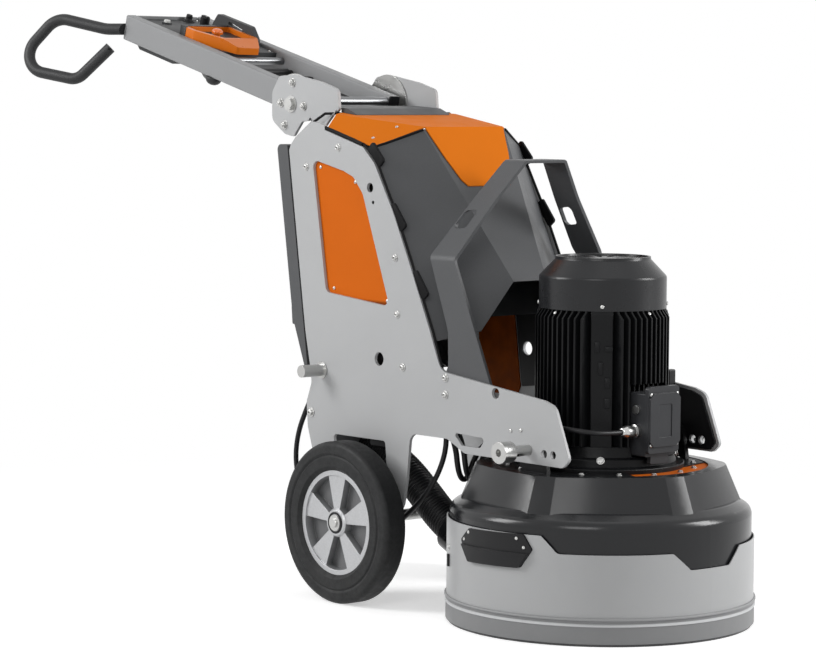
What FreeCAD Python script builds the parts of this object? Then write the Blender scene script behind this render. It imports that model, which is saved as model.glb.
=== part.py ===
import FreeCAD, Part
import math
import os
import Sketcher

# Walk-behind planetary concrete grinder. Millimetres, +X forward to the grinding head, +Y left,
# +Z up, floor at z = 0. Outlines are drawn about the grinding head's vertical axis, and every
# body is then placed at head_x. Pieces of the handle are drawn about the handle's pivot instead.

SIZES = {
    # chassis
    "head_x": 815.0,
    "plate_gap": 249.0,
    "plate_thick": 8.0,
    "bracket_gap": 162.0,
    "sheet_thick": 3.0,
    "liner_thick": 6.0,
    "cabinet_half": 225.0,
    "door_half": 240.0,
    "running_gap": 0.05,
    "seat_gap": 0.3,
    "peg_radius": 15.5,
    "peg_length": 68.0,
    "bow_thick": 8.0,
    # wheels
    "wheel_radius": 202.0,
    "rim_radius": 130.0,
    "wheel_width": 72.0,
    "wheel_gap": 37.0,
    "axle_radius": 15.0,
    # handle
    "handle_angle": 14.7,
    "rail_length": 805.0,
    "rail_width": 34.0,
    "rail_height": 70.0,
    "rail_wall": 4.0,
    "pivot_radius": 12.0,
    "disc_radius": 79.0,
    "disc_thick": 5.4,
    "disc_boss": 16.0,
    "lock_step": 35.0,
    "grip_radius": 16.0,
    "tube_radius": 10.0,
    # grinding head
    "pin_radius": 13.0,
    "cover_radius": 363.0,
    "skirt_radius": 370.0,
    "skirt_height": 252.0,
    "brush_height": 48.0,
    "orbit_radius": 200.0,
    "tool_radius": 136.0,
    "segment_height": 24.0,
    # motor
    "fin_radius": 166.0,
    "core_radius": 130.0,
    "cowl_radius": 153.0,
    "motor_base": 436.0,
    "fin_height": 320.0,
}
S = SIZES

os.makedirs("parts", exist_ok=True)
doc = FreeCAD.newDocument("ConcreteGrinder")
table = doc.addObject("Spreadsheet::Sheet", "Sizes")
for row, (alias, value) in enumerate(SIZES.items(), start=1):
    table.set("A%d" % row, alias)
    table.set("B%d" % row, str(value))
    table.setAlias("B%d" % row, alias)
doc.recompute()

V = FreeCAD.Vector
RIGHT, LEFT = -1, 1
SIDES = {"right": RIGHT, "left": LEFT}

# Places shared by several pieces, about the head's axis.
WHEEL = (-569.0, S["wheel_radius"])
PIVOT = (-982.0, 1233.0)
PIN = (18.0, 432.0)
LOCK_AT = (25.0, 8.0)
LOCK_RADIUS = 6.0
PEG = (-746.0, 563.0)
PLATE_OUT = S["plate_gap"] + S["plate_thick"]
LINER_IN = S["plate_gap"] - S["liner_thick"]
BRACKET_OUT = S["bracket_gap"] + S["plate_thick"]
DISC_IN = S["bracket_gap"] - S["disc_thick"]
RAIL_OUT = DISC_IN - S["disc_boss"] - S["seat_gap"]
RAIL_REAR = -S["rail_length"]
RAIL_IN = RAIL_OUT - S["rail_width"]
RAIL_MID = (RAIL_OUT + RAIL_IN) / 2
RAIL_LOW = 4.0 - S["rail_height"] / 2
RAIL_TOP = RAIL_LOW + S["rail_height"]
RAIL_NOSE = 62.0
TYRE_IN = PLATE_OUT + S["wheel_gap"]
TYRE_OUT = TYRE_IN + S["wheel_width"]
HUB_IN = TYRE_IN + 6.0
HUB_OUT = TYRE_OUT - 8.0
MOTOR_TOP = S["motor_base"] + S["fin_height"]
BOX_FACE = 142.0
PLATE_TOP_Z = 376.0
PLATE_LOW_Z = 362.0


# Routes of the cables and hoses, from the cabinet floor or from the machine's own fittings.
LOOP_RADIUS = 6.5
CABLE_RADIUS = 6.0
MIST_RADIUS = 7.0
HOSE_RADIUS = 44.0
PORT_LENGTH = 68.0
FLOOR_Z = 705.0
LOOP_ROUTE = [(-780, -205, FLOOR_Z - 0.3), (-780, -205, 650), (-784, -218, 590), (-790, -232, 530),
              (-826, -239, 462), (-862, -241, 392), (-874, -240, 318), (-856, -236, 246),
              (-802, -230, 186), (-724, -226, 150), (-634, -225, 141), (-542, -225, 164),
              (-458, -227, 216), (-385, -229, 272), (-328, -230, 338), (-298, -230, 410),
              (-306, -231, 484), (-343, -231, 550), (-410, -230, 597), (-485, -226, 618),
              (-550, -212, 640), (-550, -212, FLOOR_Z - 0.3)]
HOSE_ROUTE = [(-379, -100, 163.7), (-448.6, -100, 196.2), (-525, -100, 256), (-590, -100, 304),
              (-665, -100, 341), (-735, -100, 370)]
MIST_ROUTE = [(-452, -193, FLOOR_Z - 0.3), (-452, -193, 655), (-438, -193, 604), (-404, -190, 556),
              (-362, -186, 510), (-326, -181, 460), (-294, -180, 404), (-290, -176, 348),
              (-304, -149.8, 318.3), (-323.8, -112.8, 318.3), (-337.8, -86.6, 348),
              (-322, -74, 388), (-282, -74, 406), (-204, -78, 400)]
MIST_SHIFT = (-15.0, -12.0)
MIST_BEND = [(-338, -87, 388), (-298, -92, 410), (-221, -97, 402)]
MIST_ROUTES = [MIST_ROUTE, [(x + MIST_SHIFT[0], y + MIST_SHIFT[1], z)
                            for x, y, z in MIST_ROUTE[:-len(MIST_BEND)]] + MIST_BEND]
MOTOR_ROUTE = [(168, -101.3, 476), (168, -160, 476), (146, -206, 483), (92, -228, 489),
               (20, -232, 493), (-60, -231, 501), (-136, -229, 520), (-206, -224, 553),
               (-280, -214, 592), (-350, -200, 612), (-418, -176, 620), (-500, -150, 640),
               (-500, -150, FLOOR_Z - 0.3)]


# ---------------------------------------------------------------- helpers
def head_frame():
    return FreeCAD.Placement(V(S["head_x"], 0, 0), FreeCAD.Rotation())


def wheel_frame():
    return FreeCAD.Placement(V(S["head_x"] + WHEEL[0], 0, WHEEL[1]), FreeCAD.Rotation())


def handle_frame():
    turn = FreeCAD.Rotation(V(0, 1, 0), S["handle_angle"])
    return FreeCAD.Placement(V(S["head_x"] + PIVOT[0], 0, PIVOT[1]), turn)


def new_body(label, frame):
    body = doc.addObject("PartDesign::Body", label)
    body.Label = label
    body.AllowCompound = True
    body.Placement = frame
    return body


def origin_part(body, role):
    return next(f for f in body.Origin.OriginFeatures if f.Role == role)


def new_sketch(body, role, offset=0.0, formula=None):
    """A sketch on one of the body's own origin planes, moved along that plane's normal."""
    sk = body.newObject("Sketcher::SketchObject", body.Name + "_sketch")
    sk.AttachmentSupport = [(origin_part(body, role), "")]
    sk.MapMode = "FlatFace"
    sk.AttachmentOffset = FreeCAD.Placement(V(0, 0, offset), FreeCAD.Rotation())
    if formula:
        sk.setExpression("AttachmentOffset.Base.z", formula)
    return sk


def corner_cut(before, corner, after, radius):
    """Tangent points and middle point of an arc that rounds one corner."""
    a = (before - corner).normalize()
    b = (after - corner).normalize()
    half = a.getAngle(b) / 2
    reach = radius / math.tan(half)
    middle = (a + b).normalize()
    centre = corner + middle * (radius / math.sin(half))
    return corner + a * reach, centre - middle * radius, corner + b * reach


def outline(sk, points):
    """Closed outline; a point (x, y, r) is a corner rounded to radius r."""
    spots = [V(p[0], p[1], 0) for p in points]
    ends = []
    shapes = []
    for i, p in enumerate(points):
        if len(p) == 3:
            start, mid, end = corner_cut(spots[i - 1], spots[i], spots[(i + 1) % len(spots)], p[2])
            shapes.append(Part.Arc(start, mid, end))
            ends.append((start, end))
        else:
            ends.append((spots[i], spots[i]))
    for i in range(len(ends)):
        start = ends[i - 1][1]
        end = ends[i][0]
        if start.distanceToPoint(end) > 1e-6:
            shapes.append(Part.LineSegment(start, end))
    sk.addGeometry(shapes, False)


def circle(sk, x, y, radius, formula=None):
    index = sk.addGeometry(Part.Circle(V(x, y, 0), V(0, 0, 1), radius), False)
    rule = sk.addConstraint(Sketcher.Constraint("Radius", index, radius))
    if formula:
        sk.setExpression("Constraints[%d]" % rule, formula)


def box_outline(sk, low, high, corner=0.0):
    points = [(low[0], low[1]), (high[0], low[1]), (high[0], high[1]), (low[0], high[1])]
    if corner:
        points = [p + (corner,) for p in points]
    outline(sk, points)


def grown(points, distance):
    """The outline moved outward by a distance (its points run clockwise)."""
    spots = [V(p[0], p[1], 0) for p in points]
    result = []
    for i, here in enumerate(spots):
        a = (here - spots[i - 1]).normalize()
        b = (spots[(i + 1) % len(spots)] - here).normalize()
        na = V(-a.y, a.x, 0)
        nb = V(-b.y, b.x, 0)
        mitre = (na + nb).normalize()
        moved = here + mitre * (distance / mitre.dot(na))
        result.append((moved.x, moved.y) + tuple(points[i][2:]))
    return result


def feature(body, kind, sk, formula=None, size=None, **settings):
    """A pad, pocket, revolution or groove of a sketch; its size may be a formula."""
    item = body.newObject("PartDesign::" + kind, body.Name + "_" + kind)
    item.Profile = sk
    if size is not None:
        item.Length = size
    for name, value in settings.items():
        setattr(item, name, value)
    if formula:
        item.setExpression("Length", formula)
    sk.Visibility = False
    body.Tip = item
    return item


def pad(body, sk, size, formula=None, **settings):
    return feature(body, "Pad", sk, formula, size, **settings)


def pocket(body, sk, size, formula=None, **settings):
    return feature(body, "Pocket", sk, formula, size, **settings)


def cut_through(body, sk):
    return feature(body, "Pocket", sk, Type=1, Midplane=True)


def spin(body, sk, role, kind="Revolution", angle=360.0):
    item = feature(body, kind, sk)
    item.ReferenceAxis = (origin_part(body, role), [""])
    item.Angle = angle
    return item


def loft(body, first, second, kind="AdditiveLoft"):
    item = body.newObject("PartDesign::" + kind, body.Name + "_" + kind)
    item.Profile = first
    item.Sections = [second]
    item.Ruled = True
    first.Visibility = False
    second.Visibility = False
    body.Tip = item
    return item


def mirrored(body, items, role="XZ_Plane"):
    item = body.newObject("PartDesign::Mirrored", body.Name + "_Mirrored")
    item.Originals = items
    item.MirrorPlane = (origin_part(body, role), [""])
    body.Tip = item
    return item


def polar(body, items, role, count):
    item = body.newObject("PartDesign::PolarPattern", body.Name + "_Polar")
    item.Originals = items
    item.Axis = (origin_part(body, role), [""])
    item.Angle = 360.0
    item.Occurrences = count
    body.Tip = item
    return item


def side_sketch(body, side, inner, thick, inner_formula=None, thick_formula=None):
    """Sketch on the XZ plane whose pad of this thickness starts at |y| = inner, going outward."""
    if side == RIGHT:
        return new_sketch(body, "XZ_Plane", inner, inner_formula)
    formula = "-(%s + %s)" % (inner_formula, thick_formula) if inner_formula else None
    return new_sketch(body, "XZ_Plane", -(inner + thick), formula)


def both_sides_plate(body, points, inner, thick, holes=()):
    """A plate with the same outline on the right and left side."""
    items = []
    for side in (RIGHT, LEFT):
        sk = side_sketch(body, side, inner, thick)
        outline(sk, points)
        for x, z, radius in holes:
            circle(sk, x, z, radius)
        items.append(pad(body, sk, thick))
    return items


def y_bar(body, x, z, radius, low, high, formula=None):
    """A round bar along Y from y = low to y = high."""
    sk = new_sketch(body, "XZ_Plane", -high)
    circle(sk, x, z, radius, formula)
    return pad(body, sk, high - low)


def disc(body, x, y, radius, low, high, formula=None):
    sk = new_sketch(body, "XY_Plane", low)
    circle(sk, x, y, radius, formula)
    return pad(body, sk, high - low)


def tube_shape(points, radius, name):
    """A round tube of straight runs joined by tangent arcs."""
    spots = [V(*p) for p in points]
    edges = []
    start = spots[0]
    radii = []
    for i in range(1, len(spots) - 1):
        before = spots[i - 1] - spots[i]
        after = spots[i + 1] - spots[i]
        half = before.getAngle(after) / 2
        bend = 0.45 * min(before.Length, after.Length) * math.tan(half)
        radii.append(bend)
        first, mid, last = corner_cut(spots[i - 1], spots[i], spots[i + 1], bend)
        edges.append(Part.LineSegment(start, first).toShape())
        edges.append(Part.Arc(first, mid, last).toShape())
        start = last
    edges.append(Part.LineSegment(start, spots[-1]).toShape())
    path = Part.Wire(edges)
    ring = Part.Wire(Part.makeCircle(radius, spots[0], spots[1] - spots[0]))
    tube = path.makePipeShell([ring], True, True, 2)
    length = sum(e.Length for e in edges)
    print("%s: length %.0f, tightest bend %.0f, volume ratio %.4f"
          % (name, length, min(radii), tube.Volume / (math.pi * radius ** 2 * length)))
    return tube


def cord(label, routes, radius):
    """A cable or hose node; each route is a list of points about the head's axis."""
    tubes = []
    for points in routes:
        placed = [(x + S["head_x"], y, z) for x, y, z in points]
        tubes.append(tube_shape(placed, radius, label))
    node = doc.addObject("Part::Feature", label)
    node.Label = label
    node.Shape = tubes[0] if len(tubes) == 1 else Part.makeCompound(tubes)
    return node


# ---------------------------------------------------------------- chassis
PLATE = [
    (-874, 1132, 12), (-881, 1117, 12), (-813, 660, 40), (-794, 574, 40), (-787, 529, 25),
    (-807, 479, 25), (-802, 415, 30), (-760, 290, 40), (-620, 152, 40), (-518, 152, 40),
    (-430, 250, 40), (-417, 313, 30), (-404, 432, 25), (-269, 432, 30), (-205, 402, 30),
    (134, 400, 20), (156, 420, 14), (106, 541, 30), (69, 552, 40), (-293, 594, 40),
    (-335, 691, 60), (-414, 855, 60), (-472, 970, 60), (-546, 1091, 50), (-590, 1130, 20),
    (-739, 1170), (-739, 1182), (-785, 1191, 12), (-854, 1152, 12)]
WINDOW = [(-731, 762, 20), (-787, 1096, 16), (-664, 1069, 20), (-626, 1055, 25), (-589, 1014, 30),
          (-485, 739, 14)]
LOW_WINDOW = [(-698, 405, 10), (-498, 405, 10), (-490, 320, 20), (-540, 270, 20), (-620, 270, 20),
              (-690, 320, 20)]
SLOT = [(-246, 449, 5), (-131, 445, 8), (-150, 420, 8), (-216, 420, 8)]
PLATE_HOLES = [(71, 427, 10), (101, 427, 10), (-97, 556, 13), (-523, 607, 17), (-561, 1030, 12)]
BRACKET = [
    (-1061, 1191, 26), (-1061, 1264, 30), (-1031, 1306, 22), (-968, 1309, 60), (-860, 1291, 80),
    (-792, 1272, 18), (-787, 1220, 12), (-806, 1209, 8), (-893, 1189, 4), (-903, 1201, 4),
    (-912, 1191, 4), (-938, 1188, 10), (-972, 1149, 12), (-1008, 1156, 30)]


CABINET_REAR_TOP = (-884.0, 1117.0)
REAR_SLOPE = 0.1505


def rear_x(z):
    """Rear rim of the cabinet, parallel to the side plates' rear edges."""
    return CABINET_REAR_TOP[0] + (CABINET_REAR_TOP[1] - z) * REAR_SLOPE


HINGE_OFFSET = (-10.0, 248.5)
HINGE_RADIUS = 8.0


def hinge_barrel(body, low, length):
    """Barrel of the door's hinge; its axis runs parallel to the cabinet's rear rim."""
    sk = new_sketch(body, "XY_Plane")
    lean = FreeCAD.Rotation(V(0, 1, 0), -math.degrees(math.atan(REAR_SLOPE)))
    place = V(rear_x(low) + HINGE_OFFSET[0], HINGE_OFFSET[1], low)
    sk.AttachmentOffset = FreeCAD.Placement(place, lean)
    circle(sk, 0, 0, HINGE_RADIUS)
    pad(body, sk, length)


def side_frame(name, side):
    """Side plate, bent neck and handle bracket, cut and bent from one sheet."""
    body = new_body("side_frame_" + name, head_frame())
    thick = S["plate_thick"]
    sk = side_sketch(body, side, S["plate_gap"], thick, "Sizes.plate_gap", "Sizes.plate_thick")
    outline(sk, PLATE)
    outline(sk, WINDOW)
    outline(sk, LOW_WINDOW)
    outline(sk, SLOT)
    for x, z, radius in PLATE_HOLES:
        circle(sk, x, z, radius)
    circle(sk, PIN[0], PIN[1], S["pin_radius"] + S["running_gap"],
           "Sizes.pin_radius + Sizes.running_gap")
    circle(sk, WHEEL[0], WHEEL[1], S["axle_radius"] + S["running_gap"],
           "Sizes.axle_radius + Sizes.running_gap")
    pad(body, sk, thick, "Sizes.plate_thick")
    sk = side_sketch(body, side, S["bracket_gap"], thick, "Sizes.bracket_gap", "Sizes.plate_thick")
    outline(sk, BRACKET)
    circle(sk, PIVOT[0], PIVOT[1], S["pivot_radius"] + S["running_gap"],
           "Sizes.pivot_radius + Sizes.running_gap")
    pad(body, sk, thick, "Sizes.plate_thick")
    foot = new_sketch(body, "XZ_Plane", -side * (S["plate_gap"] + thick / 2))
    outline(foot, [(-852, 1146), (-853, 1155), (-741, 1182), (-740, 1173)])
    head = new_sketch(body, "XZ_Plane", -side * (S["bracket_gap"] + thick / 2))
    outline(head, [(-886, 1192), (-887, 1201), (-801, 1222), (-800, 1214)])
    loft(body, foot, head)
    if side == LEFT:
        for low in (630.15, 1010.15):
            hinge_barrel(body, low, 30)
            sk = side_sketch(body, side, S["plate_gap"], 5)
            rear = rear_x(low) + HINGE_OFFSET[0]
            outline(sk, [(rear, low + 2), (rear - 4, low + 28), (rear + 40, low + 28), (rear + 40, low + 2)])
            pad(body, sk, 5)
    return body


def arm_liners():
    """Black wear plates inside the arms, low stop blocks and the hose clip of the left arm."""
    body = new_body("arm_liners", head_frame())
    liner = [(-60, 408, 12), (128, 406, 12), (146, 424, 10), (98, 534, 26), (64, 545, 30),
             (-60, 560, 12)]
    holes = [(PIN[0], PIN[1], S["pin_radius"] + 1.0), (71, 427, 11), (101, 427, 11)]
    both_sides_plate(body, liner, LINER_IN, S["liner_thick"], holes)
    both_sides_plate(body, [(-564, 389, 3), (-564, 413, 3), (-496, 413, 3), (-496, 389, 3)],
                     S["plate_gap"] - 30, 30)
    inner = [(-570, 722), (-543, 507, 6), (-430, 520, 10), (-345, 636, 10), (-426, 708, 10)]
    both_sides_plate(body, inner, S["plate_gap"] - S["sheet_thick"], S["sheet_thick"],
                     [(-523, 607, 19)])
    sk = side_sketch(body, LEFT, S["plate_gap"] - 20, 20)
    outline(sk, [(-13, 550), (-13, 592, 4), (5, 592, 4), (5, 550)])
    pad(body, sk, 20)
    return body


def window_panels():
    """Orange panels behind the side windows, and the orange inner plates below them."""
    body = new_body("window_panels", head_frame())
    both_sides_plate(body, grown(WINDOW, 12), S["plate_gap"] - S["sheet_thick"], S["sheet_thick"])
    inner = [(-698, 484, 10), (-715, 735, 10), (-577, 735), (-548, 507, 6), (-560, 480, 10)]
    both_sides_plate(body, inner, S["plate_gap"] - S["sheet_thick"], S["sheet_thick"])
    return body


COVER_HALF = S["plate_gap"] - S["seat_gap"]
SIDE_FACE = ((-482.4, 131.5, 1150.0), (-249.4, 54.2, 800.0), (-481.0, 248.0, 970.0))
TOP_FOLD = (-498.7, 131.8, 1180.5)
TOP_RISE = 0.113
EAVE_RISE = 0.267
EAVE_FALL = 0.561


def ridge(z):
    """Front ridge of the body cover: its x and half width at a height."""
    upper, lower = V(*SIDE_FACE[0]), V(*SIDE_FACE[1])
    spot = upper + (lower - upper) * ((upper.z - z) / (upper.z - lower.z))
    return spot.x, spot.y


def side_face_x(y, z):
    """x of the body cover's slanted side face at a half width and a height."""
    p, q, r = (V(*spot) for spot in SIDE_FACE)
    normal = (q - p).cross(r - p)
    return p.x - (normal.y * (y - p.y) + normal.z * (z - p.z)) / normal.x


def eave_z(x, y):
    """Height of the hood's sloping side."""
    return TOP_FOLD[2] + EAVE_RISE * (TOP_FOLD[0] - x) - EAVE_FALL * (y - TOP_FOLD[1])


def panel(points, thick, inside):
    """Flat sheet whose outer face is this polygon; it is thickened toward a point inside."""
    spots = [V(*p) for p in points]
    face = Part.Face(Part.makePolygon(spots + spots[:1]))
    normal = face.normalAt(0, 0)
    if normal.dot(inside - face.CenterOfMass) < 0:
        normal = normal * -1
    return face.extrude(normal * thick)


def flip(points):
    return [(x, -y, z) for x, y, z in points]


def folded_sheet(label, faces, thick, inside):
    """A folded sheet-metal piece as one solid, made from the outer faces of its bends."""
    sheets = [panel(points, thick, inside) for points in faces]
    node = doc.addObject("Part::Feature", label)
    node.Label = label
    node.Shape = sheets[0].multiFuse(sheets[1:]).removeSplitter()
    node.Placement = head_frame()
    return node


def body_cover():
    """Three-faced front cover of the cabinet, narrowing downward."""
    low, high = 806.0, 1175.0
    (low_x, low_y), (high_x, high_y) = ridge(low), ridge(high)
    front = [(low_x, -low_y, low), (low_x, low_y, low), (high_x, high_y, high), (high_x, -high_y, high)]
    corner_z = eave_z(-562, COVER_HALF) - 5
    side = [(low_x, low_y, low), (side_face_x(150, 688), 150, 688),
            (side_face_x(COVER_HALF, 663), COVER_HALF, 663),
            (side_face_x(COVER_HALF, corner_z), COVER_HALF, corner_z), (high_x, high_y, high)]
    return folded_sheet("body_cover", [front, side, flip(side)], S["sheet_thick"], V(-500, 0, 900))


def hood():
    """Orange roof over the cabinet with a tongue that laps down the front cover."""
    x, y, z = TOP_FOLD
    lap = 4.0

    def fold(at):
        spread = (EAVE_RISE - TOP_RISE) / EAVE_FALL
        return (at, y + spread * (x - at), z + TOP_RISE * (x - at))

    rear = fold(-758)
    middle = (-790, 160, fold(-790)[2])
    top_half = [TOP_FOLD, rear, middle]
    top = top_half + flip(reversed(top_half))
    half = S["plate_gap"] - 0.5
    front_x = side_face_x(half, eave_z(-562, half)) + lap
    eave = [TOP_FOLD, (front_x, half, eave_z(front_x, half)), (-735, half, eave_z(-735, half)), rear]

    def on_front(width, height):
        return (ridge(height)[0] + lap, width, height)

    tongue_half = [TOP_FOLD, on_front(110, 1112), on_front(84, 1050), on_front(70, 1036)]
    tongue_half[0] = on_front(y, z)
    tongue = tongue_half + flip(reversed(tongue_half))
    return folded_sheet("hood", [top, eave, flip(eave), tongue], S["sheet_thick"], V(-600, 0, 1000))


def hood_strip():
    """Grey cap plate behind the hood, between the handle brackets."""
    body = new_body("hood_strip", head_frame())
    half = S["bracket_gap"] - 4
    sk = new_sketch(body, "XZ_Plane", -half)
    low = TOP_FOLD[2] + TOP_RISE * (TOP_FOLD[0] + 732) + S["seat_gap"]
    high = TOP_FOLD[2] + TOP_RISE * (TOP_FOLD[0] + 792) + S["seat_gap"]
    outline(sk, [(-732, low), (-733, low + 3), (-768, 1224, 8), (-872, 1230, 1.5), (-872, 1226),
                 (-792, 1221), (-792, high)])
    pad(body, sk, 2 * half)
    return body


def equipment_box():
    """Electrical cabinet between the side plates, open to the rear under its door."""
    body = new_body("equipment_box", head_frame())
    half = S["cabinet_half"]
    floor = 705.0
    shell = [(rear_x(floor), floor), (rear_x(1117), 1117), (-650, 1117), (-566, 1000), (-446, 760),
             (-430, floor)]
    sk = new_sketch(body, "XZ_Plane", -half, "-Sizes.cabinet_half")
    outline(sk, shell)
    pad(body, sk, 2 * half, "2 * Sizes.cabinet_half")
    wall = S["sheet_thick"]
    inner = [(rear_x(floor) - 20, floor + wall), (rear_x(1117) - 20, 1117 - wall),
             (-650 - wall, 1117 - wall), (-566 - wall, 1000), (-446 - wall, 760),
             (-430 - wall, floor + wall)]
    sk = new_sketch(body, "XZ_Plane", -half + wall, "-Sizes.cabinet_half + Sizes.sheet_thick")
    outline(sk, inner)
    pocket(body, sk, 2 * (half - wall), "2 * (Sizes.cabinet_half - Sizes.sheet_thick)", Reversed=True)
    ear = S["plate_gap"] - half
    for side in (RIGHT, LEFT):
        for z in (760.0, 1060.0):
            sk = side_sketch(body, side, half, ear)
            outline(sk, [(-826, z - 15), (-826, z + 15), (-806, z + 15), (-806, z - 15)])
            pad(body, sk, ear)
    return body


def drive_unit():
    """Frequency drive with its cooling fins, and the cable glands in the cabinet floor."""
    body = new_body("drive_unit", head_frame())
    sk = new_sketch(body, "XY_Plane", 705.0 + S["sheet_thick"])
    points = [(-720, -150), (-720, 150)]
    pitch = 30.0
    for i in range(10):
        y = 150 - i * pitch
        points += [(-560, y), (-560, y - pitch / 2), (-590, y - pitch / 2), (-590, y - pitch)]
    outline(sk, points[:-1] + [(-590, -150)])
    pad(body, sk, 240.0)
    routes = [(LOOP_ROUTE[0], LOOP_RADIUS), (LOOP_ROUTE[-1], LOOP_RADIUS),
              (MOTOR_ROUTE[-1], CABLE_RADIUS)] + [(route[0], MIST_RADIUS) for route in MIST_ROUTES]
    for spot, radius in routes:
        sk = new_sketch(body, "XY_Plane", 705.0 - 12)
        circle(sk, spot[0], spot[1], radius + 4)
        circle(sk, spot[0], spot[1], radius + S["seat_gap"])
        pad(body, sk, 12)
    return body


DOOR_LOW = 540.0
DOOR_TOP = 1131.0


def rear_door():
    """Rear cabinet door: a shallow slanted box with a latch plate, hinged at its left edge."""
    body = new_body("rear_door", head_frame())
    half = S["door_half"]
    gap = S["seat_gap"]
    wall = S["sheet_thick"]
    depth = 66.0
    sk = new_sketch(body, "XZ_Plane", -half, "-Sizes.door_half")
    outline(sk, [(rear_x(DOOR_LOW) - gap, DOOR_LOW), (rear_x(DOOR_TOP) - gap, DOOR_TOP, 6),
                 (rear_x(DOOR_TOP) - gap - depth, DOOR_TOP, 14),
                 (rear_x(690) - gap - depth, 690, 60), (rear_x(DOOR_LOW) - gap - 30, DOOR_LOW, 8)])
    pad(body, sk, 2 * half, "2 * Sizes.door_half")
    sk = new_sketch(body, "XZ_Plane", -half + wall, "-Sizes.door_half + Sizes.sheet_thick")
    outline(sk, [(rear_x(DOOR_LOW + 10) + 10, DOOR_LOW + 10), (rear_x(DOOR_TOP - 10) + 10, DOOR_TOP - 10),
                 (rear_x(DOOR_TOP - 10) - depth + wall, DOOR_TOP - 10),
                 (rear_x(690) - depth + wall, 690), (rear_x(DOOR_LOW + 10) - 24, DOOR_LOW + 10)])
    pocket(body, sk, 2 * (half - wall), "2 * (Sizes.door_half - Sizes.sheet_thick)", Reversed=True)
    latch_z = 691.0
    latch_x = rear_x(latch_z) - gap - depth
    sk = new_sketch(body, "XZ_Plane", half - 40)
    outline(sk, [(latch_x - 8, latch_z - 20, 4), (latch_x - 12, latch_z + 26, 4),
                 (latch_x + 2, latch_z + 28), (latch_x + 8, latch_z - 24)])
    pad(body, sk, 34)
    for low in (600.0, 660.3, 980.0, 1040.3):
        hinge_barrel(body, low, 30)
        x = rear_x(low) + HINGE_OFFSET[0]
        sk = side_sketch(body, LEFT, half - 2, 8)
        outline(sk, [(x - 5, low + 2), (x - 9, low + 27), (x + 1, low + 27), (x + 5, low + 2)])
        pad(body, sk, 8)
    return body


KNEE_Z = 868.0
BOW_TOP_Z = 1104.0
BOW_TOP_HALF = 67.0


def lifting_bow():
    """Lifting bow bent from flat bar: two upright legs, two inward legs and a short top."""
    body = new_body("lifting_bow", head_frame())
    out = S["plate_gap"]
    thick = S["bow_thick"]
    foot = 518.0
    sk = new_sketch(body, "YZ_Plane", -360)
    half_line = [(out, foot), (out, KNEE_Z, 24), (BOW_TOP_HALF, BOW_TOP_Z, 16)]
    inner_line = [(BOW_TOP_HALF - 4, BOW_TOP_Z - thick, 8), (out - thick, KNEE_Z - 4, 16),
                  (out - thick, foot)]
    left = [(-p[0],) + tuple(p[1:]) for p in reversed(half_line)]
    left_inner = [(-p[0],) + tuple(p[1:]) for p in reversed(inner_line)]
    outline(sk, half_line + left + left_inner + inner_line)
    pad(body, sk, 260)
    sk = new_sketch(body, "XZ_Plane")
    box_outline(sk, (-420, 400), (0, 1250))
    outline(sk, [(-300, foot - 5), (-300, 560), (-275, 608, 20), (-277, 693, 60), (-346, 872, 30),
                 (-309, 1006, 200), (-272, BOW_TOP_Z + 9, 10), (-196, BOW_TOP_Z + 9, 10),
                 (-229, 1008, 200), (-256, 862, 30), (-108, 536, 12), (-140, foot - 5, 8)])
    cut_through(body, sk)
    sk = new_sketch(body, "XZ_Plane")
    outline(sk, [(-324, 935, 10), (-311, 980, 10), (-267, 985, 10), (-278, 940, 10)])
    cut_through(body, sk)
    return body


def axle():
    """Through axle with spacer collars inside the wheels and keeper washers outside."""
    body = new_body("axle", wheel_frame())
    sk = new_sketch(body, "XY_Plane")
    r = S["axle_radius"]
    end = HUB_OUT + 8
    gap = S["seat_gap"]
    half = [(r, PLATE_OUT), (r + 9, PLATE_OUT), (r + 9, HUB_IN - gap), (r, HUB_IN - gap),
            (r, HUB_OUT + gap), (r + 5, HUB_OUT + gap), (r + 5, HUB_OUT + 3), (r - 4, HUB_OUT + 3),
            (r - 4, end - 1), (r - 5, end), (0, end)]
    outline(sk, half + [(p[0], -p[1]) for p in reversed(half)])
    spin(body, sk, "Y_Axis")
    return body


def port_frame():
    """Frame at the hose's rear end: local x runs on along the hose, out of the machine."""
    before, end = V(*HOSE_ROUTE[-2]), V(*HOSE_ROUTE[-1])
    along = (end - before).normalize()
    turn = FreeCAD.Rotation(along, V(0, 1, 0), V(), "XYZ")
    shift = end + along * S["seat_gap"] + V(S["head_x"], 0, 0)
    return FreeCAD.Placement(shift, turn)


def hose_port():
    """Plate on the right side plate with the socket for the extractor's hose."""
    body = new_body("hose_port", port_frame())
    offset = HOSE_ROUTE[-1][1]
    sk = new_sketch(body, "YZ_Plane")
    box_outline(sk, (-S["plate_gap"] - offset, -56), (60, 56))
    pad(body, sk, 6)
    sk = new_sketch(body, "YZ_Plane")
    circle(sk, 0, 0, HOSE_RADIUS - 5)
    pad(body, sk, PORT_LENGTH)
    sk = new_sketch(body, "YZ_Plane")
    circle(sk, 0, 0, HOSE_RADIUS - 8)
    pocket(body, sk, 2 * PORT_LENGTH + 20, Midplane=True)
    return body


def tie_bars():
    """Tie tube between the side plates, and the outer pegs for weights."""
    body = new_body("tie_bars", head_frame())
    y_bar(body, -776, 466, 14, -S["plate_gap"], S["plate_gap"])
    for side in (RIGHT, LEFT):
        sk = side_sketch(body, side, PLATE_OUT, 3)
        circle(sk, PEG[0], PEG[1], S["peg_radius"] + 6)
        pad(body, sk, 3)
        sk = side_sketch(body, side, PLATE_OUT, S["peg_length"])
        circle(sk, PEG[0], PEG[1], S["peg_radius"], "Sizes.peg_radius")
        pad(body, sk, S["peg_length"], "Sizes.peg_length")
    return body


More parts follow.
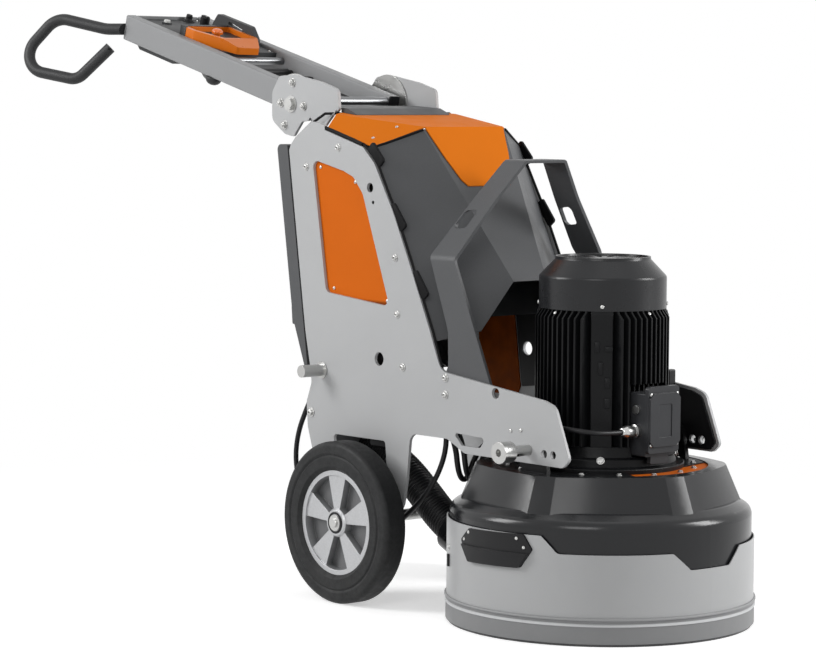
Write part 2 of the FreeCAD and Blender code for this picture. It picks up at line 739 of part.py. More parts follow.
def pivot_bolts():
    """Shoulder bolts that the handle turns on."""
    body = new_body("pivot_bolts", head_frame())
    inner = RAIL_OUT - S["rail_wall"] - 4
    for side in (RIGHT, LEFT):
        sk = side_sketch(body, side, inner, BRACKET_OUT - inner)
        circle(sk, PIVOT[0], PIVOT[1], S["pivot_radius"], "Sizes.pivot_radius")
        pad(body, sk, BRACKET_OUT - inner)
        sk = side_sketch(body, side, BRACKET_OUT, 12)
        hexagon = [(PIVOT[0] + 17 * math.cos(math.radians(a)), PIVOT[1] + 17 * math.sin(math.radians(a)))
                   for a in range(0, 360, 60)]
        outline(sk, hexagon)
        pad(body, sk, 12)
        sk = side_sketch(body, side, BRACKET_OUT, 2.5)
        circle(sk, PIVOT[0], PIVOT[1], 22)
        pad(body, sk, 2.5)
    return body


# ---------------------------------------------------------------- wheels
def tyre(name, side):
    """Solid tyre with a rounded tread, a bead on the rim and a ring groove in each side."""
    body = new_body("tyre_" + name, wheel_frame())
    sk = new_sketch(body, "XY_Plane")
    r = S["wheel_radius"]
    inner = S["rim_radius"]
    low, high = side * TYRE_IN, side * TYRE_OUT
    step = side * 3
    outline(sk, [(inner, low + 3 * step), (inner + 10, low), (inner + 34, low), (inner + 38, low + step),
                 (inner + 44, low, 4), (r, low + step, 14), (r, high - step, 14), (inner + 44, high, 4),
                 (inner + 38, high - step), (inner + 34, high), (inner + 10, high),
                 (inner, high - 3 * step)])
    spin(body, sk, "Y_Axis")
    return body


def rim(name, side):
    """Cast wheel centre: rim barrel, web, hub and five spokes that widen outward."""
    body = new_body("rim_" + name, wheel_frame())
    sk = new_sketch(body, "XY_Plane")
    r = S["rim_radius"]
    bore = S["axle_radius"] + S["running_gap"]
    low, high = side * (TYRE_IN + 9), side * (TYRE_OUT - 9)
    web_low, web_high = side * (TYRE_IN + 30), side * (TYRE_IN + 38)
    outline(sk, [(bore, side * HUB_IN), (bore, side * HUB_OUT), (32, side * HUB_OUT),
                 (36, side * (HUB_OUT - 4)), (38, web_high), (r - 14, web_high), (r - 12, high),
                 (r, high), (r, low), (r - 12, low), (r - 14, web_low), (38, web_low),
                 (36, side * HUB_IN)])
    spin(body, sk, "Y_Axis")
    depth = TYRE_OUT - 13 - (TYRE_IN + 38)
    sk = side_sketch(body, side, TYRE_IN + 38, depth)
    outline(sk, [(-11, 34), (-33, r - 13), (33, r - 13), (11, 34)])
    spoke = pad(body, sk, depth)
    polar(body, [spoke], "Y_Axis", 5)
    return body


# ---------------------------------------------------------------- handle
def rail(name, side):
    """Rectangular tube of the handle, bored for its pivot and its lock plunger."""
    body = new_body("rail_" + name, handle_frame())
    wall = S["rail_wall"]
    sk = new_sketch(body, "YZ_Plane", -S["rail_length"], "-Sizes.rail_length")
    y_low, y_high = sorted((side * RAIL_IN, side * RAIL_OUT))
    box_outline(sk, (y_low, RAIL_LOW), (y_high, RAIL_TOP), 5)
    box_outline(sk, (y_low + wall, RAIL_LOW + wall), (y_high - wall, RAIL_TOP - wall), 2)
    pad(body, sk, S["rail_length"] + RAIL_NOSE, "Sizes.rail_length + %s" % RAIL_NOSE)
    sk = side_sketch(body, side, RAIL_OUT - wall - 1, wall + 2)
    circle(sk, 0, 0, S["pivot_radius"] + S["running_gap"], "Sizes.pivot_radius + Sizes.running_gap")
    circle(sk, *LOCK_AT, LOCK_RADIUS + S["running_gap"])
    pocket(body, sk, wall + 2, Reversed=True)
    sk = side_sketch(body, side, RAIL_IN - 1, wall + 2)
    circle(sk, *LOCK_AT, LOCK_RADIUS + S["running_gap"])
    pocket(body, sk, wall + 2, Reversed=True)
    return body


def lock_discs():
    """Index discs on the inner faces of the brackets, with holes for the lock plungers."""
    body = new_body("lock_discs", handle_frame())
    thick = S["disc_thick"]
    x, z = LOCK_AT
    for side in (RIGHT, LEFT):
        sk = side_sketch(body, side, S["bracket_gap"] - thick, thick,
                         "Sizes.bracket_gap - Sizes.disc_thick", "Sizes.disc_thick")
        circle(sk, 0, 0, S["disc_radius"], "Sizes.disc_radius")
        circle(sk, 0, 0, S["pivot_radius"] + S["running_gap"],
               "Sizes.pivot_radius + Sizes.running_gap")
        for step in (-1, 0, 1, 2):
            turn = math.radians(step * S["lock_step"])
            circle(sk, x * math.cos(turn) + z * math.sin(turn),
                   z * math.cos(turn) - x * math.sin(turn), LOCK_RADIUS + S["running_gap"])
        pad(body, sk, thick, "Sizes.disc_thick")
        boss = S["disc_boss"]
        sk = side_sketch(body, side, DISC_IN - boss, boss,
                         "Sizes.bracket_gap - Sizes.disc_thick - Sizes.disc_boss", "Sizes.disc_boss")
        circle(sk, 0, 0, 18)
        circle(sk, 0, 0, S["pivot_radius"] + S["running_gap"],
               "Sizes.pivot_radius + Sizes.running_gap")
        pad(body, sk, boss, "Sizes.disc_boss")
    sk = new_sketch(body, "XZ_Plane")
    outline(sk, [(6, -100), (0, -62, 8), (26, -22, 8), (48, -30, 8), (62, -14), (100, -20),
                 (100, -100)])
    cut_through(body, sk)
    return body


def end_plate():
    """Cross plate that closes the rear of the handle between the rails."""
    body = new_body("end_plate", handle_frame())
    sk = new_sketch(body, "YZ_Plane", -S["rail_length"], "-Sizes.rail_length")
    box_outline(sk, (-RAIL_IN, RAIL_LOW + 2), (RAIL_IN, RAIL_TOP - 1), 4)
    pad(body, sk, 6)
    return body


def cross_tubes():
    """Round tubes across the handle, between the rails."""
    body = new_body("cross_tubes", handle_frame())
    y_bar(body, RAIL_REAR + 405, 14, S["tube_radius"], -RAIL_IN, RAIL_IN, "Sizes.tube_radius")
    y_bar(body, 52, 22, 12, -RAIL_IN, RAIL_IN)
    return body


GRIP_PATH = [(-60, 0), (72, 0), (230, -35), (346, 110), (141, 149), (52, 54)]
GRIP_YAW = 30.0
GRIP_LEAN = 17.5


def grip(name, side):
    """Open handle loop: a bent tube whose root plugs the rear end of its rail."""
    radii = {1: 130.0, 2: 60.0, 3: 58.0, 4: 42.0}
    spots = [V(x, y, 0) for x, y in GRIP_PATH]
    edges = []
    start = spots[0]
    for i in sorted(radii):
        first, mid, last = corner_cut(spots[i - 1], spots[i], spots[i + 1], radii[i])
        edges.append(Part.LineSegment(start, first).toShape())
        edges.append(Part.Arc(first, mid, last).toShape())
        start = last
    edges.append(Part.LineSegment(start, spots[-1]).toShape())
    path = Part.Wire(edges)
    ring = Part.Wire(Part.makeCircle(S["grip_radius"], spots[0], V(1, 0, 0)))
    tube = path.makePipeShell([ring], True, True, 2)
    yaw = math.radians(GRIP_YAW)
    lean = math.radians(GRIP_LEAN)
    back = V(-math.cos(yaw), side * math.sin(yaw), 0)
    down = V(math.sin(yaw) * math.sin(lean), side * math.cos(yaw) * math.sin(lean), -math.cos(lean))
    root = V(RAIL_REAR + 14, side * (RAIL_OUT - 7), 2)
    root = handle_frame().multVec(root)
    turn = FreeCAD.Rotation(back, down, back.cross(down), "XYZ")
    tube.Placement = FreeCAD.Placement(root, turn)
    inside = S["rail_wall"] + S["seat_gap"]
    plug = Part.makeBox(30, S["rail_width"] - 2 * inside, S["rail_height"] - 2 * inside,
                        V(-S["rail_length"], side * RAIL_MID - S["rail_width"] / 2 + inside,
                          RAIL_LOW + inside))
    long_edges = [e for e in plug.Edges if abs(e.tangentAt(0).x) > 0.9]
    plug = plug.makeFillet(2.0, long_edges)
    plug.Placement = handle_frame()
    node = doc.addObject("Part::Feature", "grip_" + name)
    node.Label = "grip_" + name
    mouth = Part.makeBox(100, 300, S["rail_height"] + 60,
                         V(-S["rail_length"], -150 + side * RAIL_MID, RAIL_LOW - 30))
    mouth.Placement = handle_frame()
    outside = tube.cut(mouth)
    kept = max(outside.Solids, key=lambda s: s.Volume)
    node.Shape = kept.fuse(plug).removeSplitter()
    return node


def lock_blocks():
    """Plunger blocks on the rails, saddles for the pull rods and plugs in the rails' noses."""
    body = new_body("lock_blocks", handle_frame())
    x, z = LOCK_AT
    long = 26.0
    for side in (RIGHT, LEFT):
        sk = new_sketch(body, "YZ_Plane", RAIL_NOSE)
        y_low, y_high = sorted((side * RAIL_IN, side * RAIL_OUT))
        box_outline(sk, (y_low, RAIL_LOW), (y_high, RAIL_TOP), 5)
        pad(body, sk, 4)
        sk = side_sketch(body, side, RAIL_IN - long, long)
        box_outline(sk, (x - 13, z - 13), (x + 13, z + 13), 3)
        circle(sk, x, z, LOCK_RADIUS + S["running_gap"])
        pad(body, sk, long)
        for guide_x in (RAIL_REAR + 535, -60.0):
            sk = new_sketch(body, "YZ_Plane", guide_x)
            y_low, y_high = sorted((side * (ROD_Y - 9), side * RAIL_IN))
            box_outline(sk, (y_low, BAR_AT[1] - 9), (y_high, BAR_AT[1] + 9))
            circle(sk, side * ROD_Y, BAR_AT[1], 3 + S["running_gap"])
            pad(body, sk, 12)
    return body


def plunger(name, side):
    """Lock plunger through its block and rail, drawn back clear of its disc."""
    body = new_body("plunger_" + name, handle_frame())
    start = RAIL_IN - 40
    end = DISC_IN - S["seat_gap"]
    sk = side_sketch(body, side, start, end - start)
    circle(sk, *LOCK_AT, LOCK_RADIUS)
    pad(body, sk, end - start)
    sk = side_sketch(body, side, start - 5, 5)
    circle(sk, *LOCK_AT, LOCK_RADIUS + 3)
    pad(body, sk, 5)
    return body


BAR_AT = (RAIL_REAR + 460, -4.0)
ROD_Y = 94.0


def release_bar():
    """Grip bar that frees the handle lock, with its two pull rods along the rails."""
    body = new_body("release_bar", handle_frame())
    y_bar(body, *BAR_AT, 11, -84, 84)
    for side in (RIGHT, LEFT):
        sk = side_sketch(body, side, 84, ROD_Y + 6 - 84)
        circle(sk, *BAR_AT, 7)
        pad(body, sk, ROD_Y + 6 - 84)
        sk = new_sketch(body, "YZ_Plane", BAR_AT[0])
        circle(sk, side * ROD_Y, BAR_AT[1], 3)
        pad(body, sk, LOCK_AT[0] - 13 - 12 - BAR_AT[0])
    return body


TRAY_TOP = 30.0
TRAY_HALF = RAIL_IN
HOUSING_TOP = 62.0
INSET_TOP = 47.0
HOOP_Y = 60.0
STOP_AT = (RAIL_REAR + 287, -40.0)
START_AT = (RAIL_REAR + 62, -45.0)


def control_tray():
    """Dark control box between the rails: deep at the rear, shallow in front."""
    body = new_body("control_tray", handle_frame())
    sk = new_sketch(body, "XZ_Plane", -TRAY_HALF)
    rear = RAIL_REAR + 6
    front = RAIL_REAR + 375
    outline(sk, [(rear, RAIL_LOW + 4, 8), (rear, TRAY_TOP), (front, TRAY_TOP), (front, 10, 6),
                 (front - 155, 2, 20), (front - 175, -50, 8), (rear + 30, -50, 8)])
    pad(body, sk, 2 * TRAY_HALF)
    return body


def control_housing():
    """Orange control housing on the tray: a tapered plan, a sloped nose and a recessed top."""
    body = new_body("control_housing", handle_frame())
    near = 1.5 - TRAY_HALF
    rear = RAIL_REAR + 205
    far = HOOP_Y - 0.5
    sk = new_sketch(body, "XY_Plane", TRAY_TOP)
    outline(sk, [(rear, near, 4), (rear + 60, near, 12), (rear + 197, near + 54, 10),
                 (rear + 200, 20, 10), (rear + 132, far, 12), (rear, far)])
    pad(body, sk, HOUSING_TOP - TRAY_TOP)
    sk = new_sketch(body, "XY_Plane", INSET_TOP)
    outline(sk, [(rear + 14, near + 12, 6), (rear + 56, near + 12, 8), (rear + 138, near + 46, 8),
                 (rear + 138, far - 30, 8), (rear + 118, far - 10, 8), (rear + 14, far - 10, 6)])
    pocket(body, sk, 30, Reversed=True)
    sk = new_sketch(body, "XZ_Plane")
    outline(sk, [(rear + 140, HOUSING_TOP + 20), (rear + 148, HOUSING_TOP), (rear + 210, 46),
                 (rear + 230, HOUSING_TOP + 20)])
    cut_through(body, sk)
    return body


def guard_hoop():
    """Black guard hoop beside the controls, with the rings of the buttons."""
    body = new_body("guard_hoop", handle_frame())
    rear = RAIL_REAR + 129
    sk = new_sketch(body, "XZ_Plane", -HOOP_Y - 16)
    outline(sk, [(rear, TRAY_TOP), (rear + 3, 53, 12), (rear + 20, 84, 12), (rear + 172, 84, 14),
                 (rear + 203, 56, 12), (rear + 206, TRAY_TOP)])
    outline(sk, [(rear + 72, 67, 2), (rear + 74, 75, 2), (rear + 138, 67, 2), (rear + 137, 58, 2)])
    pad(body, sk, 16)
    bore = 9 + S["running_gap"]
    for spot, radius, low in ((START_AT, 14, TRAY_TOP), (STOP_AT, 20, INSET_TOP)):
        sk = new_sketch(body, "XY_Plane", low)
        circle(sk, spot[0], spot[1], radius)
        circle(sk, spot[0], spot[1], bore)
        pad(body, sk, 6)
    return body


def estop():
    """Mushroom stop button."""
    body = new_body("estop", handle_frame())
    sk = new_sketch(body, "XZ_Plane")
    place = V(STOP_AT[0], STOP_AT[1], INSET_TOP)
    body.Placement = handle_frame().multiply(FreeCAD.Placement(place, FreeCAD.Rotation()))
    outline(sk, [(0, 4.5), (9, 4.5), (9, 12), (15.5, 13), (15.5, 20, 4), (9, 26, 8), (0, 27)])
    spin(body, sk, "Z_Axis")
    return body


def knob(label, x, y, radius, height, base=TRAY_TOP):
    """Turning knob with a waisted skirt and a finger flat."""
    frame = handle_frame().multiply(FreeCAD.Placement(V(x, y, base), FreeCAD.Rotation()))
    body = new_body(label, frame)
    sk = new_sketch(body, "XZ_Plane")
    outline(sk, [(0, S["seat_gap"]), (radius, S["seat_gap"]), (radius, 5), (radius - 2, 8),
                 (radius - 1, height, 3), (0, height)])
    spin(body, sk, "Z_Axis")
    sk = new_sketch(body, "XY_Plane", height - 5)
    box_outline(sk, (-radius, radius * 0.35), (radius, radius + 5))
    box_outline(sk, (-radius, -radius - 5), (radius, -radius * 0.35))
    pocket(body, sk, 10, Reversed=True)
    return body


def start_button():
    frame = handle_frame().multiply(FreeCAD.Placement(V(START_AT[0], START_AT[1], TRAY_TOP), FreeCAD.Rotation()))
    body = new_body("start_button", frame)
    sk = new_sketch(body, "XZ_Plane")
    outline(sk, [(0, 4), (9, 4), (9, 12, 2), (0, 13)])
    spin(body, sk, "Z_Axis")
    return body


# ---------------------------------------------------------------- grinding head
DOME_CORNERS = (50.0, 110.0, 170.0, 230.0, 290.0, 350.0)
COVER_WALL = 4.0
COVER_LOW = 96.0
CUFF_AT = (-356.0, -100.0, 153.0)
CUFF_TILT = 25.0
CUFF_LENGTH = 62.0
CUFF_PLAY = 8.2
PLATE_RADIUS = S["plate_gap"] + 8.5
DOME_RISE = 4.0


def dome_section(body, z, mid_radius, corner_radius, blunt):
    """Six bulged sides that meet in blunted corners; in the top section they make a circle."""
    sk = new_sketch(body, "XY_Plane", z)
    shapes = []

    def at(radius, angle):
        return V(radius * math.cos(math.radians(angle)), radius * math.sin(math.radians(angle)), 0)

    for i, here in enumerate(DOME_CORNERS):
        after = DOME_CORNERS[(i + 1) % len(DOME_CORNERS)]
        if after < here:
            after += 360
        side_start = at(corner_radius, here + blunt)
        side_end = at(corner_radius, after - blunt)
        shapes.append(Part.Arc(side_start, at(mid_radius, (here + after) / 2), side_end))
        shapes.append(Part.Arc(at(corner_radius, here - blunt), at(corner_radius, here),
                               at(corner_radius, here + blunt)))
    sk.addGeometry(shapes, False)
    return sk


def head_cover():
    """Moulded head cover: straight wall, rounded shoulder and a six-sided dome."""
    body = new_body("head_cover", head_frame())
    r = S["cover_radius"]
    sk = new_sketch(body, "XZ_Plane")
    outline(sk, [(r - COVER_WALL, COVER_LOW), (r, COVER_LOW), (r, 280, 26), (r - 34, 300, 12), (r - 70, 302),
                 (r - 70, 296), (r - 38, 294, 8), (r - COVER_WALL, 276, 20)])
    spin(body, sk, "Z_Axis")
    blunt = 5.0
    loft(body, dome_section(body, 280, r - 40, r - 20, blunt),
         dome_section(body, PLATE_TOP_Z + DOME_RISE, PLATE_RADIUS + 27, PLATE_RADIUS + 43, blunt))
    loft(body, dome_section(body, 270, r - 43, r - 23, blunt),
         dome_section(body, PLATE_TOP_Z - 6, PLATE_RADIUS + 22, PLATE_RADIUS + 28, blunt),
         "SubtractiveLoft")
    sk = new_sketch(body, "XY_Plane", 340)
    circle(sk, 0, 0, PLATE_RADIUS + 0.5)
    pocket(body, sk, 60, Reversed=True)
    bore = HOSE_RADIUS + CUFF_PLAY
    for kind in (pad, pocket):
        sk = new_sketch(body, "YZ_Plane")
        turn = FreeCAD.Rotation(V(1, 0, 0), 180 + CUFF_TILT)
        sk.AttachmentOffset = FreeCAD.Placement(V(CUFF_AT[1], CUFF_AT[2], CUFF_AT[0]), turn)
        circle(sk, 0, 0, bore + (3 if kind is pad else 0))
        if kind is pad:
            pad(body, sk, CUFF_LENGTH)
        else:
            pocket(body, sk, 2 * CUFF_LENGTH + 20, Midplane=True)
    return body


def top_plate():
    """Orange gearbox top plate that carries the motor, the cover and the arm lugs."""
    body = new_body("top_plate", head_frame())
    sk = new_sketch(body, "XZ_Plane")
    outline(sk, [(0, PLATE_LOW_Z), (PLATE_RADIUS + 20, PLATE_LOW_Z), (PLATE_RADIUS + 20, PLATE_TOP_Z - 6),
                 (PLATE_RADIUS, PLATE_TOP_Z - 6), (PLATE_RADIUS, PLATE_TOP_Z), (0, PLATE_TOP_Z)])
    spin(body, sk, "Z_Axis")
    return body


def head_lugs():
    """Upright lugs that the arms' pins pass through, on a sheet over the top plate's rear."""
    body = new_body("head_lugs", head_frame())
    thick = 12.0
    x, z = PIN
    lug = [(x - 46, PLATE_TOP_Z), (x - 32, z + 32, 28), (x + 32, z + 32, 28), (x + 46, PLATE_TOP_Z)]
    hole = (x, z, S["pin_radius"] + S["running_gap"])
    both_sides_plate(body, lug, LINER_IN - 3 - thick, thick, [hole])
    sk = new_sketch(body, "XY_Plane", PLATE_TOP_Z)
    circle(sk, 0, 0, PLATE_RADIUS - 1)
    circle(sk, 0, 0, 200 + S["seat_gap"])
    pad(body, sk, 2.5)
    sk = new_sketch(body, "XY_Plane", PLATE_TOP_Z - 1)
    outline(sk, [(172, -86), (400, -190), (400, 400), (130, 240), (160, 130)])
    pocket(body, sk, 3.6, Reversed=True)
    return body


def lock_pin(name, side):
    """Headed pin that joins arm and head; it slides out sideways."""
    frame = head_frame().multiply(FreeCAD.Placement(V(PIN[0], 0, PIN[1]), FreeCAD.Rotation()))
    body = new_body("arm_pin_" + name, frame)
    sk = new_sketch(body, "XY_Plane")
    r = S["pin_radius"]
    start = LINER_IN - 3 - 12 - 4
    collar = PLATE_OUT + 55
    end = collar + 41
    points = [(0, start), (r - 2, start), (r, start + 2), (r, collar), (25, collar + 4), (25, end - 12),
              (26, end - 10), (26, end - 1), (25, end), (9, end), (9, end - 16), (0, end - 18)]
    outline(sk, [(x, side * y) for x, y in points])
    spin(body, sk, "Y_Axis")
    return body


def motor_flange():
    """Flange and lower end shield of the motor."""
    body = new_body("motor_flange", head_frame())
    sk = new_sketch(body, "XZ_Plane")
    outline(sk, [(0, PLATE_TOP_Z), (200, PLATE_TOP_Z), (200, 388, 3), (180, 391), (178, 408, 3),
                 (165, 412), (160, S["motor_base"]), (0, S["motor_base"])])
    spin(body, sk, "Z_Axis")
    sk = new_sketch(body, "YZ_Plane", BOX_FACE)
    box_outline(sk, (-53, 412), (53, 500))
    pocket(body, sk, 60, Reversed=True)
    for route in MIST_ROUTES:
        x, y, z = route[-1]
        sk = new_sketch(body, "YZ_Plane", x + 2.8)
        circle(sk, y, z, MIST_RADIUS + 3)
        pad(body, sk, 50)
    return body




FIN_PITCH = 15.6
FIN_HALF = 2.0


def motor_housing():
    """Finned motor housing: parallel fins on four sides and a wide pad on each corner."""
    body = new_body("motor_housing", head_frame())
    core, tip = S["core_radius"], S["fin_radius"]
    base, high = S["motor_base"], S["fin_height"]
    sk = new_sketch(body, "XY_Plane", base, "Sizes.motor_base")
    circle(sk, 0, 0, core, "Sizes.core_radius")
    pad(body, sk, high, "Sizes.fin_height")
    sk = new_sketch(body, "XY_Plane", base, "Sizes.motor_base")
    for k in range(-5, 6):
        low, top = k * FIN_PITCH - FIN_HALF, k * FIN_PITCH + FIN_HALF
        outline(sk, [(95, low), (math.sqrt(tip ** 2 - low ** 2), low),
                     (math.sqrt(tip ** 2 - top ** 2), top), (95, top)])
    fins = pad(body, sk, high, "Sizes.fin_height")
    polar(body, [fins], "Z_Axis", 4)
    sk = new_sketch(body, "XY_Plane", base, "Sizes.motor_base")
    half = 26.0
    diagonal = [(100, -half), (tip - 10, -half, 3), (tip - 10, half, 3), (100, half)]
    slant = math.sqrt(0.5)
    outline(sk, [((p[0] - p[1]) * slant, (p[0] + p[1]) * slant) + tuple(p[2:]) for p in diagonal])
    corner = pad(body, sk, high, "Sizes.fin_height")
    polar(body, [corner], "Z_Axis", 4)
    sk = new_sketch(body, "YZ_Plane", BOX_FACE)
    box_outline(sk, (-52, 400), (52, 584))
    pocket(body, sk, 60, Reversed=True)
    sk = new_sketch(body, "XY_Plane", MOTOR_TOP - 20)
    circle(sk, 0, 0, FAN_SHAFT + S["running_gap"])
    pocket(body, sk, 30, Reversed=True)
    sk = new_sketch(body, "XZ_Plane")
    outline(sk, [(S["cowl_radius"], MOTOR_TOP + 5), (S["cowl_radius"], MOTOR_TOP - 3),
                 (tip + 5, MOTOR_TOP - 24), (tip + 5, MOTOR_TOP + 5)])
    spin(body, sk, "Z_Axis", "Groove")
    return body


FAN_SHAFT = 14.0
COWL_RISE = 120.0


def fan_cowl():
    """Fan cowl with a chamfered top, a raised lip and a grille of radial slots."""
    body = new_body("fan_cowl", head_frame())
    r = S["cowl_radius"]
    wall = 3.0
    z = MOTOR_TOP
    top = z + COWL_RISE
    sk = new_sketch(body, "XZ_Plane")
    outline(sk, [(r - wall, z), (r, z), (r, top - 44, 8), (r - 38, top - 4, 5), (r - 39, top + 3),
                 (r - 44, top + 3), (r - 45, top - 2), (0, top - 2), (0, top - 5), (r - 42, top - 5),
                 (r - wall, top - 46, 6)])
    spin(body, sk, "Z_Axis")
    sk = new_sketch(body, "XY_Plane", top - 10)
    outline(sk, [(34, -3), (100, -10, 3), (100, 10, 3), (34, 3)])
    slot = pocket(body, sk, 20, Reversed=True)
    polar(body, [slot], "Z_Axis", 15)
    return body


def fan():
    """Cooling fan on the motor's shaft."""
    body = new_body("fan", head_frame())
    low = MOTOR_TOP + 20
    disc(body, 0, 0, FAN_SHAFT, MOTOR_TOP - 18, low)
    disc(body, 0, 0, 34, low, low + 60)
    sk = new_sketch(body, "XY_Plane", low)
    outline(sk, [(30, -2), (132, -2), (132, 2), (30, 2)])
    blade = pad(body, sk, 52)
    polar(body, [blade], "Z_Axis", 9)
    return body


def terminal_box():
    """Terminal box on the motor's front with its raised lid."""
    body = new_body("terminal_box", head_frame())
    sk = new_sketch(body, "YZ_Plane", BOX_FACE + 0.2)
    box_outline(sk, (-49, 416), (49, 566), 4)
    pad(body, sk, 54)
    sk = new_sketch(body, "YZ_Plane", BOX_FACE + 54.2)
    box_outline(sk, (-51, 424), (51, 582), 8)
    pad(body, sk, 12)
    sk = new_sketch(body, "YZ_Plane", BOX_FACE + 66.2)
    outline(sk, [(-50, 452, 4), (-38, 440, 4), (38, 440, 4), (50, 452, 4), (50, 554, 4), (38, 566, 4),
                 (-38, 566, 4), (-50, 554, 4)])
    pad(body, sk, 6)
    sk = new_sketch(body, "YZ_Plane", BOX_FACE + 70.2)
    box_outline(sk, (-22, 462), (22, 540), 4)
    pocket(body, sk, 10, Reversed=True)
    sk = new_sketch(body, "YZ_Plane", BOX_FACE + 41.5)
    box_outline(sk, (-30, 398), (30, 422), 3)
    pad(body, sk, 12)
    return body


GLAND_AT = (168.0, 476.0)


def cable_gland():
    """Metal cable gland and a blanking plug in the side of the terminal box."""
    frame = head_frame().multiply(FreeCAD.Placement(V(GLAND_AT[0], 0, GLAND_AT[1]), FreeCAD.Rotation()))
    body = new_body("cable_gland", frame)
    sk = new_sketch(body, "XY_Plane")
    bore = CABLE_RADIUS + S["seat_gap"]
    start = -49.0
    outline(sk, [(bore, start), (16, start), (16, start - 10), (12.5, start - 11), (12.5, start - 19),
                 (15, start - 20), (15, start - 38), (10, start - 52, 6), (bore, start - 52)])
    spin(body, sk, "Y_Axis")
    sk = side_sketch(body, RIGHT, 49, 5)
    circle(sk, 0, 50, 11)
    pad(body, sk, 5)
    return body


def skirt_band():
    """Floating skirt: a rolled band whose stepped top edge follows the cover."""
    body = new_body("skirt_band", head_frame())
    r = S["skirt_radius"]
    low = S["brush_height"] + 18
    high = S["skirt_height"]
    sk = new_sketch(body, "XY_Plane", low)
    circle(sk, 0, 0, r, "Sizes.skirt_radius")
    circle(sk, 0, 0, r - 3, "Sizes.skirt_radius - 3")
    pad(body, sk, high - low)
    sk = new_sketch(body, "XY_Plane", low)
    circle(sk, 0, 0, r - 2)
    circle(sk, 0, 0, S["cover_radius"] + S["seat_gap"])
    pad(body, sk, COVER_LOW + 22 - low)
    sk = new_sketch(body, "YZ_Plane", 60)

    def across(angle):
        return r * math.sin(math.radians(angle))

    steps = [(across(66.5), high + 1), (across(60), high - 40, 8), (across(17.5), high - 40, 8),
             (across(10), high - 81, 8)]
    outline(sk, steps + [(-p[0],) + tuple(p[1:]) for p in reversed(steps)])
    pocket(body, sk, 400, Reversed=True)
    sk = new_sketch(body, "YZ_Plane", -60)
    notch = [(across(42), high + 1), (across(30), low + 8, 10)]
    outline(sk, notch + [(-p[0],) + tuple(p[1:]) for p in reversed(notch)])
    pocket(body, sk, 400)
    return body


def skirt_ring():
    """Ring at the foot of the skirt that holds the brush."""
    body = new_body("skirt_ring", head_frame())
    r = S["skirt_radius"]
    z = S["brush_height"]
    sk = new_sketch(body, "XZ_Plane")
    outline(sk, [(r - 11, z - 14), (r - 3, z - 14), (r - 3, z - 6), (r - 1, z - 6), (r - 1, 6),
                 (r + 2, 6), (r + 2, z - 3), (r + 4, z - 1), (r + 4, z + 3), (r + 1.5, z + 5),
                 (r + 1.5, z + 11), (r + 5, z + 13), (r + 5, z + 17, 1.5), (r + 3, z + 18),
                 (r - 6, z + 18), (r - 6, z + 4), (r - 11, z + 4)])
    spin(body, sk, "Z_Axis")
    return body


def brush_seal():
    """Brush strip that seals the skirt to the floor."""
    body = new_body("brush_seal", head_frame())
    r = S["skirt_radius"]
    sk = new_sketch(body, "XZ_Plane")
    z = S["brush_height"]
    outline(sk, [(r - 11, 0), (r - 3, 0), (r - 3, z - 14), (r - 11, z - 14)])
    spin(body, sk, "Z_Axis")
    return body


def skirt_pads():
    """Black six-sided lift plates on the sides of the skirt."""
    body = new_body("skirt_pads", head_frame())
    r = S["skirt_radius"]
    thick = 5.0
    high = S["skirt_height"]
    hexagon = [(-101, high - 35, 6), (-64, high - 4, 8), (109, high + 1, 8), (131, high - 34, 6),
               (101, high - 78, 8), (-63, high - 82, 8)]
    for side in (RIGHT, LEFT):
        sk = side_sketch(body, side, r - 60, 100)
        outline(sk, hexagon)
        pad(body, sk, 100)
    sk = new_sketch(body, "XY_Plane")
    circle(sk, 0, 0, r + 0.2)
    pocket(body, sk, 400, Reversed=True)
    sk = new_sketch(body, "XY_Plane")
    circle(sk, 0, 0, r + 2 * thick)
    circle(sk, 0, 0, r + 200)
    pocket(body, sk, 400, Reversed=True)
    sk = new_sketch(body, "XY_Plane", high - 44)
    circle(sk, 0, 0, r + thick)
    circle(sk, 0, 0, r + 200)
    pocket(body, sk, 100, Reversed=True)
    return body


CARRIER_LOW = 96.0


def planet_carrier():
    """Planetary disc with its hub, which carries the three tool spindles."""
    body = new_body("planet_carrier", head_frame())
    sk = new_sketch(body, "XZ_Plane")
    hub_top = PLATE_LOW_Z - S["seat_gap"]
    outline(sk, [(0, CARRIER_LOW), (S["cover_radius"] - 22, CARRIER_LOW),
                 (S["cover_radius"] - 22, CARRIER_LOW + 14), (150, CARRIER_LOW + 14),
                 (120, CARRIER_LOW + 40), (120, hub_top), (0, hub_top)])
    spin(body, sk, "Z_Axis")
    sk = new_sketch(body, "XY_Plane", CARRIER_LOW - 1)
    for x, y in orbit_places():
        circle(sk, x, y, 24 + S["running_gap"])
    pocket(body, sk, 13, Reversed=True)
    return body


def orbit_places():
    """Centres of the three tool spindles."""
    angles = [math.radians(a) for a in (60, 180, 300)]
    return [(S["orbit_radius"] * math.cos(a), S["orbit_radius"] * math.sin(a)) for a in angles]


